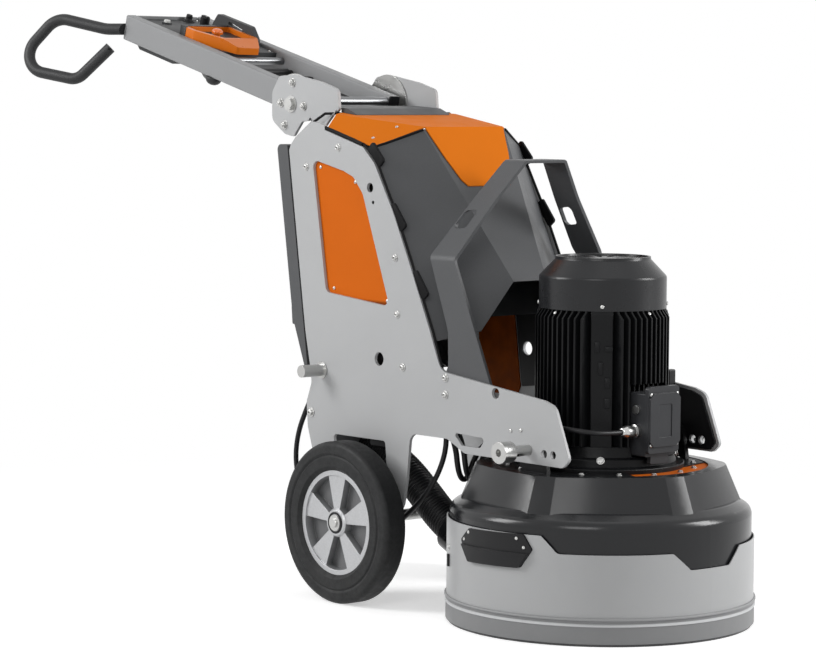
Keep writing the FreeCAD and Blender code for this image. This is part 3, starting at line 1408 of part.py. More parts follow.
def satellite(index, place):
    """One tool spindle: shaft, hub and grinding disc with its diamond segments."""
    frame = head_frame().multiply(FreeCAD.Placement(V(place[0], place[1], 0), FreeCAD.Rotation()))
    body = new_body("satellite_%d" % index, frame)
    base = S["segment_height"]
    sk = new_sketch(body, "XZ_Plane")
    outline(sk, [(0, base), (S["tool_radius"], base), (S["tool_radius"], base + 10),
                 (90, base + 14), (86, base + 26), (46, base + 30), (44, CARRIER_LOW - 8),
                 (24, CARRIER_LOW - 8), (24, CARRIER_LOW + 10), (0, CARRIER_LOW + 10)])
    spin(body, sk, "Z_Axis")
    sk = new_sketch(body, "XY_Plane", 0)
    outer = S["tool_radius"] - 4
    outline(sk, [(outer - 46, -17, 5), (outer - 6, -24, 8), (outer - 6, 24, 8), (outer - 46, 17, 5)])
    segment = pad(body, sk, base, "Sizes.segment_height")
    polar(body, [segment], "Z_Axis", 6)
    return body


# ---------------------------------------------------------------- cables and hoses
# ---------------------------------------------------------------- build
for side_name, side_sign in SIDES.items():
    side_frame(side_name, side_sign)
    tyre(side_name, side_sign)
    rim(side_name, side_sign)
    rail(side_name, side_sign)
    grip(side_name, side_sign)
    plunger(side_name, side_sign)
    lock_pin(side_name, side_sign)
arm_liners()
window_panels()
body_cover()
hood()
hood_strip()
equipment_box()
drive_unit()
rear_door()
lifting_bow()
axle()
tie_bars()
hose_port()
pivot_bolts()
lock_discs()
end_plate()
cross_tubes()
lock_blocks()
release_bar()
control_tray()
control_housing()
guard_hoop()
estop()
knob("speed_knob", RAIL_REAR + 98, 58, 15, 35)
knob("mode_knob", RAIL_REAR + 25, 58, 11, 21)
start_button()
head_cover()
top_plate()
head_lugs()
motor_flange()
motor_housing()
fan_cowl()
fan()
terminal_box()
cable_gland()
skirt_band()
skirt_ring()
brush_seal()
skirt_pads()
planet_carrier()
for number, centre in enumerate(orbit_places(), start=1):
    satellite(number, centre)
cord("cable_loop", [LOOP_ROUTE], LOOP_RADIUS)
cord("dust_hose", [HOSE_ROUTE], HOSE_RADIUS)
cord("mist_hoses", MIST_ROUTES, MIST_RADIUS)
cord("motor_cable", [MOTOR_ROUTE], CABLE_RADIUS)
doc.recompute()

# ---------------------------------------------------------------- check and write
for item in doc.Objects:
    if {"Invalid", "Error"} & set(item.State):
        raise RuntimeError("%s did not build: %s" % (item.Name, item.State))
nodes = [item for item in doc.Objects
         if item.TypeId == "PartDesign::Body" or item.TypeId == "Part::Feature"]
for item in nodes:
    if item.Shape.isNull() or not item.Shape.isValid():
        raise RuntimeError("%s has no valid shape" % item.Label)
for item in nodes:
    item.Shape.exportStep(os.path.join("parts", item.Label + ".step"))
print("%d nodes written" % len(nodes))
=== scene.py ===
import bmesh
import bpy
import math
from mathutils import Matrix, Quaternion, Vector
from mathutils.bvhtree import BVHTree


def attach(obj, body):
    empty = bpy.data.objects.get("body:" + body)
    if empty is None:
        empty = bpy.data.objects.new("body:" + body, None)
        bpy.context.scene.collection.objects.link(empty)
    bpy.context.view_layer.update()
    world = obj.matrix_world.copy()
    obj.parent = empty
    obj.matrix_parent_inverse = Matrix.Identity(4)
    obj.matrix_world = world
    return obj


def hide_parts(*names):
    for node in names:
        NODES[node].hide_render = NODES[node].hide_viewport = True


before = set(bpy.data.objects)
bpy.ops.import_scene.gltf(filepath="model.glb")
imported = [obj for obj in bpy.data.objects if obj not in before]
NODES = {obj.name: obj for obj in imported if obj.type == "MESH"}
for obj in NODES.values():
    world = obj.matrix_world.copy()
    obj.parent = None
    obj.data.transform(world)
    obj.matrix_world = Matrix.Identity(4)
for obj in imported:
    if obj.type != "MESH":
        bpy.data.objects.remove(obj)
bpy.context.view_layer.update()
SIDES = {"right": -1, "left": 1}
scene = bpy.context.scene
scene.view_settings.view_transform = "Standard"

# ---------------------------------------------------------------- places
MM = 0.001
HEAD_X = 0.815
PIVOT_PLACE = (-0.167, 0.0, 1.233)
HANDLE_SLOPE = 14.7
HANDLE = (Matrix.Translation(PIVOT_PLACE)
          @ Matrix.Rotation(math.radians(HANDLE_SLOPE), 4, "Y"))
DOWN = (0, 0, -1)
FORWARD = (1, 0, 0)
BACKWARD = (-1, 0, 0)
HANDLE_UP = HANDLE.to_3x3() @ Vector((0, 0, 1))
HANDLE_DOWN = HANDLE.to_3x3() @ Vector(DOWN)
HANDLE_FORWARD = HANDLE.to_3x3() @ Vector(FORWARD)


def at(x, y, z):
    """A point in millimetres from the foot of the grinding head's axis."""
    return Vector((x * MM + HEAD_X, y * MM, z * MM))


def on_handle(x, y, z):
    """A point in millimetres in the handle's own frame, whose origin is its pivot."""
    return HANDLE @ Vector((x * MM, y * MM, z * MM))


def polar(radius, azimuth, z):
    """A point in millimetres and degrees about the head's axis."""
    turn = math.radians(azimuth)
    return at(radius * math.cos(turn), radius * math.sin(turn), z)


def facing(point, axis):
    """A matrix whose local z runs along axis from point."""
    turn = Vector(axis).normalized().to_track_quat("Z", "Y").to_matrix().to_4x4()
    return Matrix.Translation(point) @ turn


# ---------------------------------------------------------------- camera
CAMERA_PLACE = (5.883037, -5.028665, 1.275836)
CAMERA_LOOK = Vector((-0.75192795, 0.65441146, -0.07968692))
CAMERA_ROLL = 0.345


def make_camera():
    camera = bpy.data.objects.new("camera", bpy.data.cameras.new("camera"))
    scene.collection.objects.link(camera)
    camera.data.lens = 131.456
    camera.data.sensor_width = 36.0
    camera.data.clip_start = 0.5
    camera.data.clip_end = 60.0
    camera.location = CAMERA_PLACE
    camera.rotation_mode = "QUATERNION"
    roll = Quaternion((0, 0, 1), math.radians(CAMERA_ROLL))
    camera.rotation_quaternion = CAMERA_LOOK.to_track_quat("-Z", "Y") @ roll
    scene.camera = camera


make_camera()


# ---------------------------------------------------------------- shader nodes
def add(tree, kind, values=(), **settings):
    """Adds a shader node; each value is a number, a colour or a socket to link."""
    made = tree.nodes.new(kind)
    for key, value in settings.items():
        setattr(made, key, value)
    for key, value in dict(values).items():
        if isinstance(value, bpy.types.NodeSocket):
            tree.links.new(value, made.inputs[key])
        else:
            made.inputs[key].default_value = value
    return made


def maths(tree, operation, first, second=0.0):
    return add(tree, "ShaderNodeMath", {0: first, 1: second}, operation=operation).outputs[0]


def spread(tree, value, low, high, start=0.0, end=1.0):
    """Maps start..end to low..high and stops at both ends."""
    return add(tree, "ShaderNodeMapRange", {"Value": value, "From Min": start, "From Max": end,
                                            "To Min": low, "To Max": high}).outputs["Result"]


def noise(tree, coords, size, detail=2.0, rough=0.5):
    return add(tree, "ShaderNodeTexNoise", {"Vector": coords, "Scale": 1.0 / size,
                                            "Detail": detail, "Roughness": rough}).outputs["Fac"]


def mixed(tree, factor, first, second):
    """A socket blended toward a plain colour."""
    return add(tree, "ShaderNodeMix", {0: factor, 6: first, 7: tuple(second) + (1.0,)},
               data_type="RGBA").outputs[2]


def part_of(tree, coords, axis):
    """One of the X, Y and Z of a place."""
    return add(tree, "ShaderNodeSeparateXYZ", {0: coords}).outputs[axis]


# ---------------------------------------------------------------- light and floor
AMBIENT = 0.27
FLOOR_SIZE = 28.0
FLOOR_PAINT = 0.82
FLOOR_GLOW = 0.50
FLOOR_FADE = (0.9, 2.6)
# The place, the point it lights, the size in metres and the power in watts.
LAMPS = {
    "left": ((-2.3, -3.7, 3.0), (0.2, 0.0, 0.7), (1.8, 2.6), 150.0),
    "right": ((3.9, 3.1, 2.4), (0.6, 0.0, 0.5), (1.5, 2.6), 175.0),
    "front": ((3.4, -4.4, 3.0), (0.3, 0.0, 0.5), (2.4, 2.0), 62.0),
    "top": ((0.3, 0.4, 4.4), (0.2, 0.0, 0.4), (3.0, 2.0), 10.0),
}


def seen_ray(tree):
    """1 for the rays that the camera, a mirror or a glass sees by, else 0."""
    path = add(tree, "ShaderNodeLightPath").outputs
    total = path["Is Camera Ray"]
    for other in ("Is Glossy Ray", "Is Transmission Ray"):
        total = maths(tree, "MAXIMUM", total, path[other])
    return total


def make_world():
    """White where it is seen, and dimmer as a light."""
    world = bpy.data.worlds.new("studio")
    scene.world = world
    world.use_nodes = True
    tree = world.node_tree
    shade = tree.nodes["Background"]
    shade.inputs["Color"].default_value = (1.0, 1.0, 1.0, 1.0)
    tree.links.new(spread(tree, seen_ray(tree), AMBIENT, 1.0), shade.inputs["Strength"])


def make_lamp(name, place, target, size, power):
    lamp = bpy.data.objects.new(name, bpy.data.lights.new(name, "AREA"))
    scene.collection.objects.link(lamp)
    lamp.data.shape = "RECTANGLE"
    lamp.data.size, lamp.data.size_y = size
    lamp.data.energy = power
    lamp.location = place
    lamp.rotation_mode = "QUATERNION"
    lamp.rotation_quaternion = (Vector(target) - Vector(place)).to_track_quat("-Z", "Y")


def make_floor():
    """A pale floor that takes the shadow and fades to plain white away from the object."""
    half = FLOOR_SIZE / 2
    mesh = bpy.data.meshes.new("floor")
    mesh.from_pydata([(-half, -half, 0), (half, -half, 0), (half, half, 0), (-half, half, 0)],
                     [], [(0, 1, 2, 3)])
    floor = bpy.data.objects.new("floor", mesh)
    scene.collection.objects.link(floor)
    mat = bpy.data.materials.new("floor_white")
    mat.use_nodes = True
    tree = mat.node_tree
    tree.nodes.clear()
    paint = add(tree, "ShaderNodeBsdfDiffuse", {"Color": (FLOOR_PAINT,) * 3 + (1.0,)})
    seen = seen_ray(tree)
    glow = add(tree, "ShaderNodeEmission", {"Strength": maths(tree, "MULTIPLY", seen, FLOOR_GLOW)})
    near = add(tree, "ShaderNodeAddShader", {0: paint.outputs[0], 1: glow.outputs[0]})
    white = add(tree, "ShaderNodeEmission")
    coords = add(tree, "ShaderNodeTexCoord").outputs["Object"]
    away = add(tree, "ShaderNodeVectorMath", {0: coords}, operation="LENGTH").outputs["Value"]
    fade = add(tree, "ShaderNodeMapRange", {"Value": away, "From Min": FLOOR_FADE[0],
                                            "From Max": FLOOR_FADE[1]},
               interpolation_type="SMOOTHSTEP").outputs["Result"]
    both = add(tree, "ShaderNodeMixShader", {0: maths(tree, "MULTIPLY", fade, seen),
                                             1: near.outputs[0], 2: white.outputs[0]})
    add(tree, "ShaderNodeOutputMaterial", {"Surface": both.outputs[0]})
    mesh.materials.append(mat)


make_world()
make_floor()
for lamp_name, lamp_values in LAMPS.items():
    make_lamp(lamp_name, *lamp_values)


# ---------------------------------------------------------------- patterns
# Each gives a colour factor, a height and a roughness factor; the last two may be None.
NOISE_RANGE = (0.3, 0.7)


def radius_from(tree, coords, x, second, axis):
    """Distance in metres from the point (x, second) in the plane of X and the named axis."""
    across = maths(tree, "SUBTRACT", part_of(tree, coords, "X"), x)
    other = maths(tree, "SUBTRACT", part_of(tree, coords, axis), second)
    return maths(tree, "SQRT", maths(tree, "ADD", maths(tree, "MULTIPLY", across, across),
                                     maths(tree, "MULTIPLY", other, other)))


def ripple(tree, away, pitch):
    """A wave from -1 to 1 that repeats every pitch metres."""
    return maths(tree, "SINE", maths(tree, "MULTIPLY", away, 2 * math.pi / pitch))


def turned_pattern(tree, coords):
    """Fine rings about the head's axis, as a lathe leaves them."""
    pitch, strength = 0.0015, 0.3
    wave = ripple(tree, radius_from(tree, coords, HEAD_X, 0.0, "Y"), pitch)
    shade = spread(tree, wave, 1 - strength * 0.4, 1 + strength * 0.4, -1, 1)
    return shade, maths(tree, "MULTIPLY", wave, strength), None


def bristle_pattern(tree, coords):
    """Fine upright hairs about the head's axis."""
    around, upward = 260.0, 6.0
    across = maths(tree, "SUBTRACT", part_of(tree, coords, "X"), HEAD_X)
    turn = maths(tree, "ARCTAN2", part_of(tree, coords, "Y"), across)
    place = add(tree, "ShaderNodeCombineXYZ", {
        0: maths(tree, "MULTIPLY", turn, around),
        1: maths(tree, "MULTIPLY", part_of(tree, coords, "Z"), upward)})
    hair = noise(tree, place.outputs[0], 1.0, 3.0)
    return spread(tree, hair, 0.45, 1.3, *NOISE_RANGE), hair, None


def cast_pattern(tree, coords):
    """The uneven skin of a casting under paint."""
    skin = noise(tree, coords, 0.006, 4.0, 0.6)
    return spread(tree, skin, 0.88, 1.1, *NOISE_RANGE), maths(tree, "MULTIPLY", skin, 1.2), None


def speck_pattern(tree, coords):
    """Fine light specks in a dark textured coating."""
    cells = add(tree, "ShaderNodeTexVoronoi", {"Vector": coords, "Scale": 520.0})
    distance = cells.outputs["Distance"]
    return spread(tree, distance, 1.35, 0.97, 0.0, 0.35), distance, None


def brushed_pattern(tree, coords):
    """Short drawn lines along the piece."""
    stretched = add(tree, "ShaderNodeMapping", {"Vector": coords, "Scale": (20.0, 1200.0, 1200.0)})
    line = noise(tree, stretched.outputs[0], 1.0, 2.0)
    return (spread(tree, line, 0.9, 1.08, *NOISE_RANGE), line,
            spread(tree, line, 0.8, 1.25, *NOISE_RANGE))


def tyre_pattern(tree, coords):
    """Dull rubber with fine moulding rings in the side and scuffs on the tread."""
    axle_x, axle_z, pitch = 0.246, 0.202, 0.004
    wave = ripple(tree, radius_from(tree, coords, axle_x, axle_z, "Z"), pitch)
    scuff = noise(tree, coords, 0.012, 5.0, 0.7)
    return (spread(tree, scuff, 0.75, 1.35, *NOISE_RANGE), maths(tree, "MULTIPLY", wave, 0.12),
            spread(tree, scuff, 1.15, 0.85, *NOISE_RANGE))


def pocket_shade_pattern(tree, coords):
    """A casting with painted shade in its pockets: darker and duller away from the wheel's outer
    face.
    """
    depth = maths(tree, "ABSOLUTE", part_of(tree, coords, "Y"))
    skin = noise(tree, coords, 0.004, 3.0, 0.6)
    shade = maths(tree, "MULTIPLY", spread(tree, depth, 0.07, 0.95, 0.324, 0.352),
                  spread(tree, skin, 0.93, 1.06, *NOISE_RANGE))
    return shade, skin, spread(tree, depth, 1.5, 1.0, 0.318, 0.349)


def inner_shade_pattern(tree, coords):
    """Bright on the upper panels, and darker on the lower plates inside the frame as painted shade.
    """
    cloud = noise(tree, coords, 0.05, 4.0, 0.6)
    inside_shade = spread(tree, cloud, 0.30, 0.46, *NOISE_RANGE)
    outer = spread(tree, part_of(tree, coords, "Z"), 0.0, 1.0, 0.742, 0.752)
    return maths(tree, "MAXIMUM", inside_shade, outer), cloud, spread(tree, outer, 1.3, 1.0)


def ring_highlight_pattern(tree, coords):
    """The moulded ring has a painted highlight along its ledge and its bead."""
    up = part_of(tree, coords, "Z")
    ledge = maths(tree, "MULTIPLY", spread(tree, up, 0.0, 1.0, 0.0462, 0.0476),
                  spread(tree, up, 1.0, 0.0, 0.0520, 0.0540))
    bead = spread(tree, up, 0.0, 0.35, 0.0605, 0.0625)
    total = maths(tree, "ADD", maths(tree, "MULTIPLY", ledge, 1.5), bead)
    return maths(tree, "ADD", total, 0.92), None, None


# ---------------------------------------------------------------- materials
DUST = (0.42, 0.41, 0.39)
DUST_HEIGHT = 0.32
# The sizes in metres of the clouds in a finish.
DRIFT_SIZE = 0.22
GLOSS_SIZE = 0.05
WEAR_SIZE = 0.03
DUST_SIZE = 0.045


def worn_edges(tree, coords, tone, colour, round_edge, amount):
    """Lightens the edges in patches."""
    flat = add(tree, "ShaderNodeNewGeometry").outputs["Normal"]
    same = add(tree, "ShaderNodeVectorMath", {0: round_edge, 1: flat}, operation="DOT_PRODUCT")
    worn = spread(tree, same.outputs["Value"], amount, 0.0, 0.86, 0.995)
    patches = spread(tree, noise(tree, coords, WEAR_SIZE, 3.0), 0.35, 1.0, 0.35, 0.65)
    pale = [min(1.0, c * 1.5 + 0.12) for c in colour]
    return mixed(tree, maths(tree, "MULTIPLY", worn, patches), tone, pale)


def surface(name, colour, rough=0.5, metal=0.0, mottle=0.05, grain=0.0, grain_size=0.0012,
            peel=0.1, peel_size=0.0018, depth=0.0002, edge=0.0, bevel=0.0009, dust=0.0, coat=0.0,
            pattern=None, specular=0.5):
    """A finish with soft drift, fine grain, relief, lighter edges and dust near the floor."""
    mat = bpy.data.materials.new(name)
    mat.use_nodes = True
    tree = mat.node_tree
    shader = tree.nodes["Principled BSDF"]
    coords = add(tree, "ShaderNodeTexCoord").outputs["Object"]
    drift = noise(tree, coords, DRIFT_SIZE, 3.0)
    fine = noise(tree, coords, grain_size, 2.0, 0.6)
    level = maths(tree, "ADD", spread(tree, drift, 1.0 - mottle, 1.0 + mottle, *NOISE_RANGE),
                  spread(tree, fine, -grain, grain, *NOISE_RANGE))
    height = maths(tree, "MULTIPLY", noise(tree, coords, peel_size), peel)
    uneven = spread(tree, noise(tree, coords, GLOSS_SIZE, 4.0), 0.9, 1.12, *NOISE_RANGE)
    if pattern:
        shade, relief, gloss = pattern(tree, coords)
        level = maths(tree, "MULTIPLY", level, shade)
        if relief is not None:
            height = maths(tree, "ADD", height, relief)
        if gloss is not None:
            uneven = maths(tree, "MULTIPLY", uneven, gloss)
    tint = add(tree, "ShaderNodeHueSaturation", {"Value": level, "Color": tuple(colour) + (1.0,)})
    tone = tint.outputs["Color"]
    round_edge = add(tree, "ShaderNodeBevel", {"Radius": bevel}, samples=4).outputs["Normal"]
    if edge:
        tone = worn_edges(tree, coords, tone, colour, round_edge, edge)
    if dust:
        near = spread(tree, part_of(tree, coords, "Z"), dust, 0.0, 0.0, DUST_HEIGHT)
        cloud = spread(tree, noise(tree, coords, DUST_SIZE, 5.0, 0.65), 0.1, 1.0, 0.4, 0.7)
        cover = maths(tree, "MULTIPLY", near, cloud)
        tone = mixed(tree, cover, tone, DUST)
        uneven = maths(tree, "ADD", uneven, maths(tree, "MULTIPLY", cover, 0.5))
    tree.links.new(tone, shader.inputs["Base Color"])
    shader.inputs["Metallic"].default_value = metal
    shader.inputs["Specular IOR Level"].default_value = specular
    if coat:
        shader.inputs["Coat Weight"].default_value = coat
        shader.inputs["Coat Roughness"].default_value = 0.12
    roughness = add(tree, "ShaderNodeMath", {0: uneven, 1: rough}, operation="MULTIPLY",
                    use_clamp=True)
    tree.links.new(roughness.outputs[0], shader.inputs["Roughness"])
    bump = add(tree, "ShaderNodeBump", {"Height": height, "Distance": depth, "Strength": 1.0,
                                        "Normal": round_edge})
    tree.links.new(bump.outputs["Normal"], shader.inputs["Normal"])
    return mat


MATERIALS = {
    "frame_grey": surface("powder_grey", (0.42, 0.425, 0.43), 0.45, mottle=0.02, grain=0.02,
                          peel=0.35, edge=0.30, bevel=0.0012, dust=0.12, specular=0.4),
    # The rails and end plate take the frame's powder grey, darkened as painted shade.
    "rail_shaded_grey": surface("powder_rail_shaded", (0.25, 0.253, 0.258), 0.45, mottle=0.02, grain=0.02,
                         peel=0.35, edge=0.30, bevel=0.0012, specular=0.35),
    "strip_grey": surface("powder_mid", (0.075, 0.077, 0.080), 0.45, mottle=0.03, grain=0.03,
                          peel=0.35, edge=0.3, bevel=0.0012, specular=0.2),
    "skirt_grey": surface("skirt_grey", (0.40, 0.405, 0.41), 0.34, mottle=0.02, grain=0.015,
                          peel=0.2, edge=0.3, bevel=0.001, dust=0.15, specular=0.45),
    "orange": surface("powder_orange", (0.62, 0.125, 0.006), 0.45, mottle=0.03, grain=0.02,
                      peel=0.3, edge=0.15, bevel=0.0012, specular=0.06),
    "hood_orange": surface("hood_orange", (0.72, 0.18, 0.012), 0.5, mottle=0.03, grain=0.02,
                           peel=0.3, edge=0.15, bevel=0.0012, specular=0.02),
    # The window panels' pattern paints shade on their lower plates inside the frame.
    "window_orange": surface("window_orange", (0.60, 0.122, 0.006), 0.45, mottle=0.03, grain=0.02,
                             peel=0.3, edge=0.15, bevel=0.0012, pattern=inner_shade_pattern,
                             specular=0.06),
    "housing_orange": surface("moulded_orange", (0.66, 0.155, 0.006), 0.30, mottle=0.03,
                              grain=0.02, peel=0.3, edge=0.12, bevel=0.0015, specular=0.25),
    "dark_grey": surface("powder_dark", (0.076, 0.078, 0.082), 0.45, mottle=0.04, peel=0.3,
                         edge=0.25, bevel=0.0012, pattern=speck_pattern, depth=0.00012,
                         specular=0.3),
    "cover_grey": surface("moulded_dark", (0.013, 0.0135, 0.015), 0.2, mottle=0.04, grain=0.04,
                          peel=0.2, edge=0.08, bevel=0.002, pattern=speck_pattern, depth=0.00004,
                          specular=0.34),
    "black_plastic": surface("moulded_black", (0.010, 0.010, 0.011), 0.42, mottle=0.08,
                             grain=0.08, grain_size=0.0008, peel=0.9, peel_size=0.0009,
                             depth=0.0001, edge=0.08, specular=0.22),
    # Black rubber for the clips, and for the beads and door strips that stand as painted shade.
    "rubber_and_shade_black": surface("rubber_and_shade", (0.004, 0.004, 0.0045), 0.6, mottle=0.1, grain=0.08,
                          peel=0.6, depth=0.0001, specular=0.12),
    "tray_grey": surface("tray_charcoal", (0.040, 0.041, 0.043), 0.5, mottle=0.06, grain=0.06,
                         peel=0.8, peel_size=0.001, depth=0.0001, edge=0.12, specular=0.25),
    "motor_black": surface("motor_enamel", (0.0055, 0.0058, 0.0065), 0.36, mottle=0.08, peel=0.4,
                           edge=0.10, bevel=0.0008, pattern=cast_pattern, depth=0.00025,
                           specular=0.16),
    "cowl_black": surface("cowl_enamel", (0.012, 0.0125, 0.014), 0.28, mottle=0.05, peel=0.4,
                          edge=0.15, bevel=0.0015, pattern=speck_pattern, depth=0.00006,
                          specular=0.32),
    "box_grey": surface("box_enamel", (0.034, 0.035, 0.038), 0.36, mottle=0.05, peel=0.4,
                        edge=0.15, bevel=0.0012, pattern=speck_pattern, depth=0.00006,
                        specular=0.2),
    "tyre": surface("tyre_rubber", (0.010, 0.0104, 0.011), 0.6, mottle=0.06, grain=0.06, peel=0.6,
                    peel_size=0.002, depth=0.00015, bevel=0.002, dust=0.03, pattern=tyre_pattern,
                    specular=0.28),
    "rubber": surface("grip_rubber", (0.020, 0.0205, 0.0215), 0.5, mottle=0.08, grain=0.08,
                      peel=0.9, peel_size=0.0012, depth=0.00012, specular=0.35),
    "cable": surface("cable_rubber", (0.009, 0.009, 0.010), 0.4, mottle=0.08, grain=0.05,
                     peel=0.4, depth=0.0001, specular=0.25),
    "hose": surface("hose_rubber", (0.007, 0.007, 0.008), 0.36, mottle=0.1, grain=0.08, peel=0.4,
                    depth=0.0001, dust=0.05, specular=0.25),
    # The rims' pattern paints shade into their pockets.
    "aluminium": surface("cast_aluminium", (0.48, 0.485, 0.495), 0.42, metal=0.75, mottle=0.04,
                         grain=0.04, peel=0.5, depth=0.00015, edge=0.25, bevel=0.0015,
                         pattern=pocket_shade_pattern),
    "zinc": surface("zinc_plate", (0.50, 0.50, 0.49), 0.28, metal=1.0, mottle=0.07, grain=0.05,
                    peel=0.3, depth=0.0001, edge=0.2, bevel=0.0006),
    "chrome": surface("chromed_tube", (0.19, 0.193, 0.198), 0.32, metal=1.0, mottle=0.04,
                      grain=0.02, peel=0.1, depth=0.00005, pattern=brushed_pattern),
    "stop_orange": surface("stop_orange", (0.74, 0.15, 0.012), 0.22, mottle=0.03, grain=0.02,
                           peel=0.3, depth=0.00008, coat=0.4),
    "button_white": surface("button_white", (0.66, 0.66, 0.64), 0.3, mottle=0.03, grain=0.02,
                            peel=0.3, depth=0.00008),
    "brush": surface("brush_hair", (0.10, 0.102, 0.106), 0.7, mottle=0.08, peel=0.2,
                     depth=0.0006, pattern=bristle_pattern, dust=0.15),
    # The ring's pattern paints a highlight along its ledge and bead.
    "ring_grey": surface("ring_rubber", (0.245, 0.248, 0.252), 0.5, mottle=0.02, grain=0.02,
                         peel=0.4, edge=0.3, bevel=0.001, dust=0.06, specular=0.35,
                         pattern=ring_highlight_pattern),
    "tool_steel": surface("tool_steel", (0.45, 0.45, 0.45), 0.4, metal=1.0, mottle=0.1,
                          grain=0.05, peel=0.4, edge=0.2, dust=0.4, pattern=turned_pattern),
}
FINISH = {
    "frame_grey": ["side_frame_right", "side_frame_left"],
    "rail_shaded_grey": ["rail_right", "rail_left", "end_plate"],
    "strip_grey": ["hood_strip"],
    "skirt_grey": ["skirt_band"],
    "ring_grey": ["skirt_ring"],
    "orange": ["top_plate"],
    "hood_orange": ["hood"],
    "window_orange": ["window_panels"],
    "housing_orange": ["control_housing"],
    "dark_grey": ["body_cover", "lifting_bow", "rear_door", "equipment_box", "hose_port"],
    "cover_grey": ["head_cover"],
    "tray_grey": ["control_tray", "guard_hoop"],
    # The arm liners are black sheets standing as painted shade on the side plates' inner faces.
    "black_plastic": ["arm_liners", "lock_blocks", "speed_knob", "mode_knob", "drive_unit",
                      "skirt_pads", "release_bar", "fan"],
    "motor_black": ["motor_housing", "motor_flange", "head_lugs"],
    "box_grey": ["terminal_box"],
    "cowl_black": ["fan_cowl"],
    "tyre": ["tyre_right", "tyre_left"],
    "rubber": ["grip_right", "grip_left"],
    "cable": ["cable_loop", "mist_hoses", "motor_cable"],
    "hose": ["dust_hose"],
    "aluminium": ["rim_right", "rim_left"],
    "zinc": ["axle", "tie_bars", "pivot_bolts", "lock_discs", "plunger_right", "plunger_left",
             "arm_pin_right", "arm_pin_left", "cable_gland"],
    "chrome": ["cross_tubes"],
    "stop_orange": ["estop"],
    "button_white": ["start_button"],
    "brush": ["brush_seal"],
    "tool_steel": ["planet_carrier", "satellite_1", "satellite_2", "satellite_3"],
}
for finish, names in FINISH.items():
    for node_name in names:
        mesh = NODES[node_name].data
        mesh.materials.clear()
        mesh.materials.append(MATERIALS[finish])

# ---------------------------------------------------------------- piece helpers
SKINS = {}
FAR = 500
ARC_STEPS = 5


def skin(name):
    """The surface of a CAD node, for finding places on it."""
    if name not in SKINS:
        data = NODES[name].data
        SKINS[name] = BVHTree.FromPolygons([v.co for v in data.vertices],
                                           [tuple(p.vertices) for p in data.polygons])
    return SKINS[name]


def hit(names, start, towards):
    """Where a line from start first meets one of the nodes, and the outward direction there."""
    towards = Vector(towards).normalized()
    found = []
    for name in names:
        place, normal, _, distance = skin(name).ray_cast(start, towards)
        if place:
            found.append((distance, place, normal))
    _, place, normal = min(found, key=lambda item: item[0])
    return place, normal if normal.dot(towards) < 0 else -normal


def from_side(name, side, x, z):
    """A spot on the outer face of a node on one side of the machine."""
    return hit([name], at(x, side * FAR, z), (0, -side, 0))


def from_outside(names, azimuth, z):
    """A spot on the head's outside at an azimuth and height."""
    start = polar(FAR, azimuth, z)
    return hit(names, start, at(0, 0, z) - start)


def piece(name, shape, finish, body, sharp=32.0):
    """A new object made from a bmesh, in a finish of its own, riding on a body."""
    bmesh.ops.recalc_face_normals(shape, faces=shape.faces)
    data = bpy.data.meshes.new(name)
    shape.to_mesh(data)
    shape.free()
    for face in data.polygons:
        face.use_smooth = True
    data.set_sharp_from_angle(angle=math.radians(sharp))
    made = bpy.data.objects.new(name, data)
    scene.collection.objects.link(made)
    data.materials.append(MATERIALS[finish])
    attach(made, body)
    return made


def band(shape, low, high):
    """Faces between two closed rings with the same number of points."""
    count = len(low)
    for k in range(count):
        shape.faces.new((low[k], low[(k + 1) % count], high[(k + 1) % count], high[k]))


def hexagon(angle):
    """The reach of a hexagon in a direction, as a share of its corner's."""
    return math.cos(math.pi / 6) / math.cos(angle % (math.pi / 3) - math.pi / 6)


def turned(shape, place, axis, profile, size=1.0, steps=24):
    """Turns a profile of (radius, height) about axis; a third number makes that ring a hexagon."""
    turn = facing(place, axis)
    rings = []
    for radius, height, *sides in profile:
        if radius == 0:
            rings.append([shape.verts.new(turn @ Vector((0, 0, height * size * MM)))])
            continue
        ring = []
        for k in range(steps):
            angle = 2 * math.pi * k / steps
            reach = radius * size * MM
            if sides:
                reach *= hexagon(angle)
            corner = Vector((reach * math.cos(angle), reach * math.sin(angle), height * size * MM))
            ring.append(shape.verts.new(turn @ corner))
        rings.append(ring)
    for low, high in zip(rings, rings[1:]):
        for k in range(steps):
            corners = [low[k % len(low)], low[(k + 1) % len(low)], high[(k + 1) % len(high)],
                       high[k % len(high)]]
            shape.faces.new(list(dict.fromkeys(corners)))


def closed_stack(shape, rings):
    """A solid through a stack of rings, with a flat face at each end."""
    for low, high in zip(rings, rings[1:]):
        band(shape, low, high)
    shape.faces.new(rings[-1])
    shape.faces.new(list(reversed(rings[0])))


def softened(low, high, soft):
    """The insets and heights up the side of a plate whose top rim is softened."""
    return (0.0, low), (0.0, high - soft), (0.3 * soft, high - 0.3 * soft), (soft, high)


def slab(shape, place, axis, length, width, thick, corner, turn=0.0):
    """A plate with rounded corners and a soft rim, its back on place, its length along local x."""
    frame_at = facing(place, axis) @ Matrix.Rotation(math.radians(turn), 4, "Z")
    rings = []
    for inset, height in softened(0.0, thick, min(0.25 * thick, 1.2)):
        ring = []
        radius = max(corner - inset, 0.3)
        for quarter, (sx, sy) in enumerate(((1, 1), (-1, 1), (-1, -1), (1, -1))):
            cx = sx * (length / 2 - inset - radius)
            cy = sy * (width / 2 - inset - radius)
            for k in range(ARC_STEPS + 1):
                angle = math.pi / 2 * (quarter + k / ARC_STEPS)
                spot = Vector(((cx + radius * math.cos(angle)) * MM,
                               (cy + radius * math.sin(angle)) * MM, height * MM))
                ring.append(shape.verts.new(frame_at @ spot))
        rings.append(ring)
    closed_stack(shape, rings)


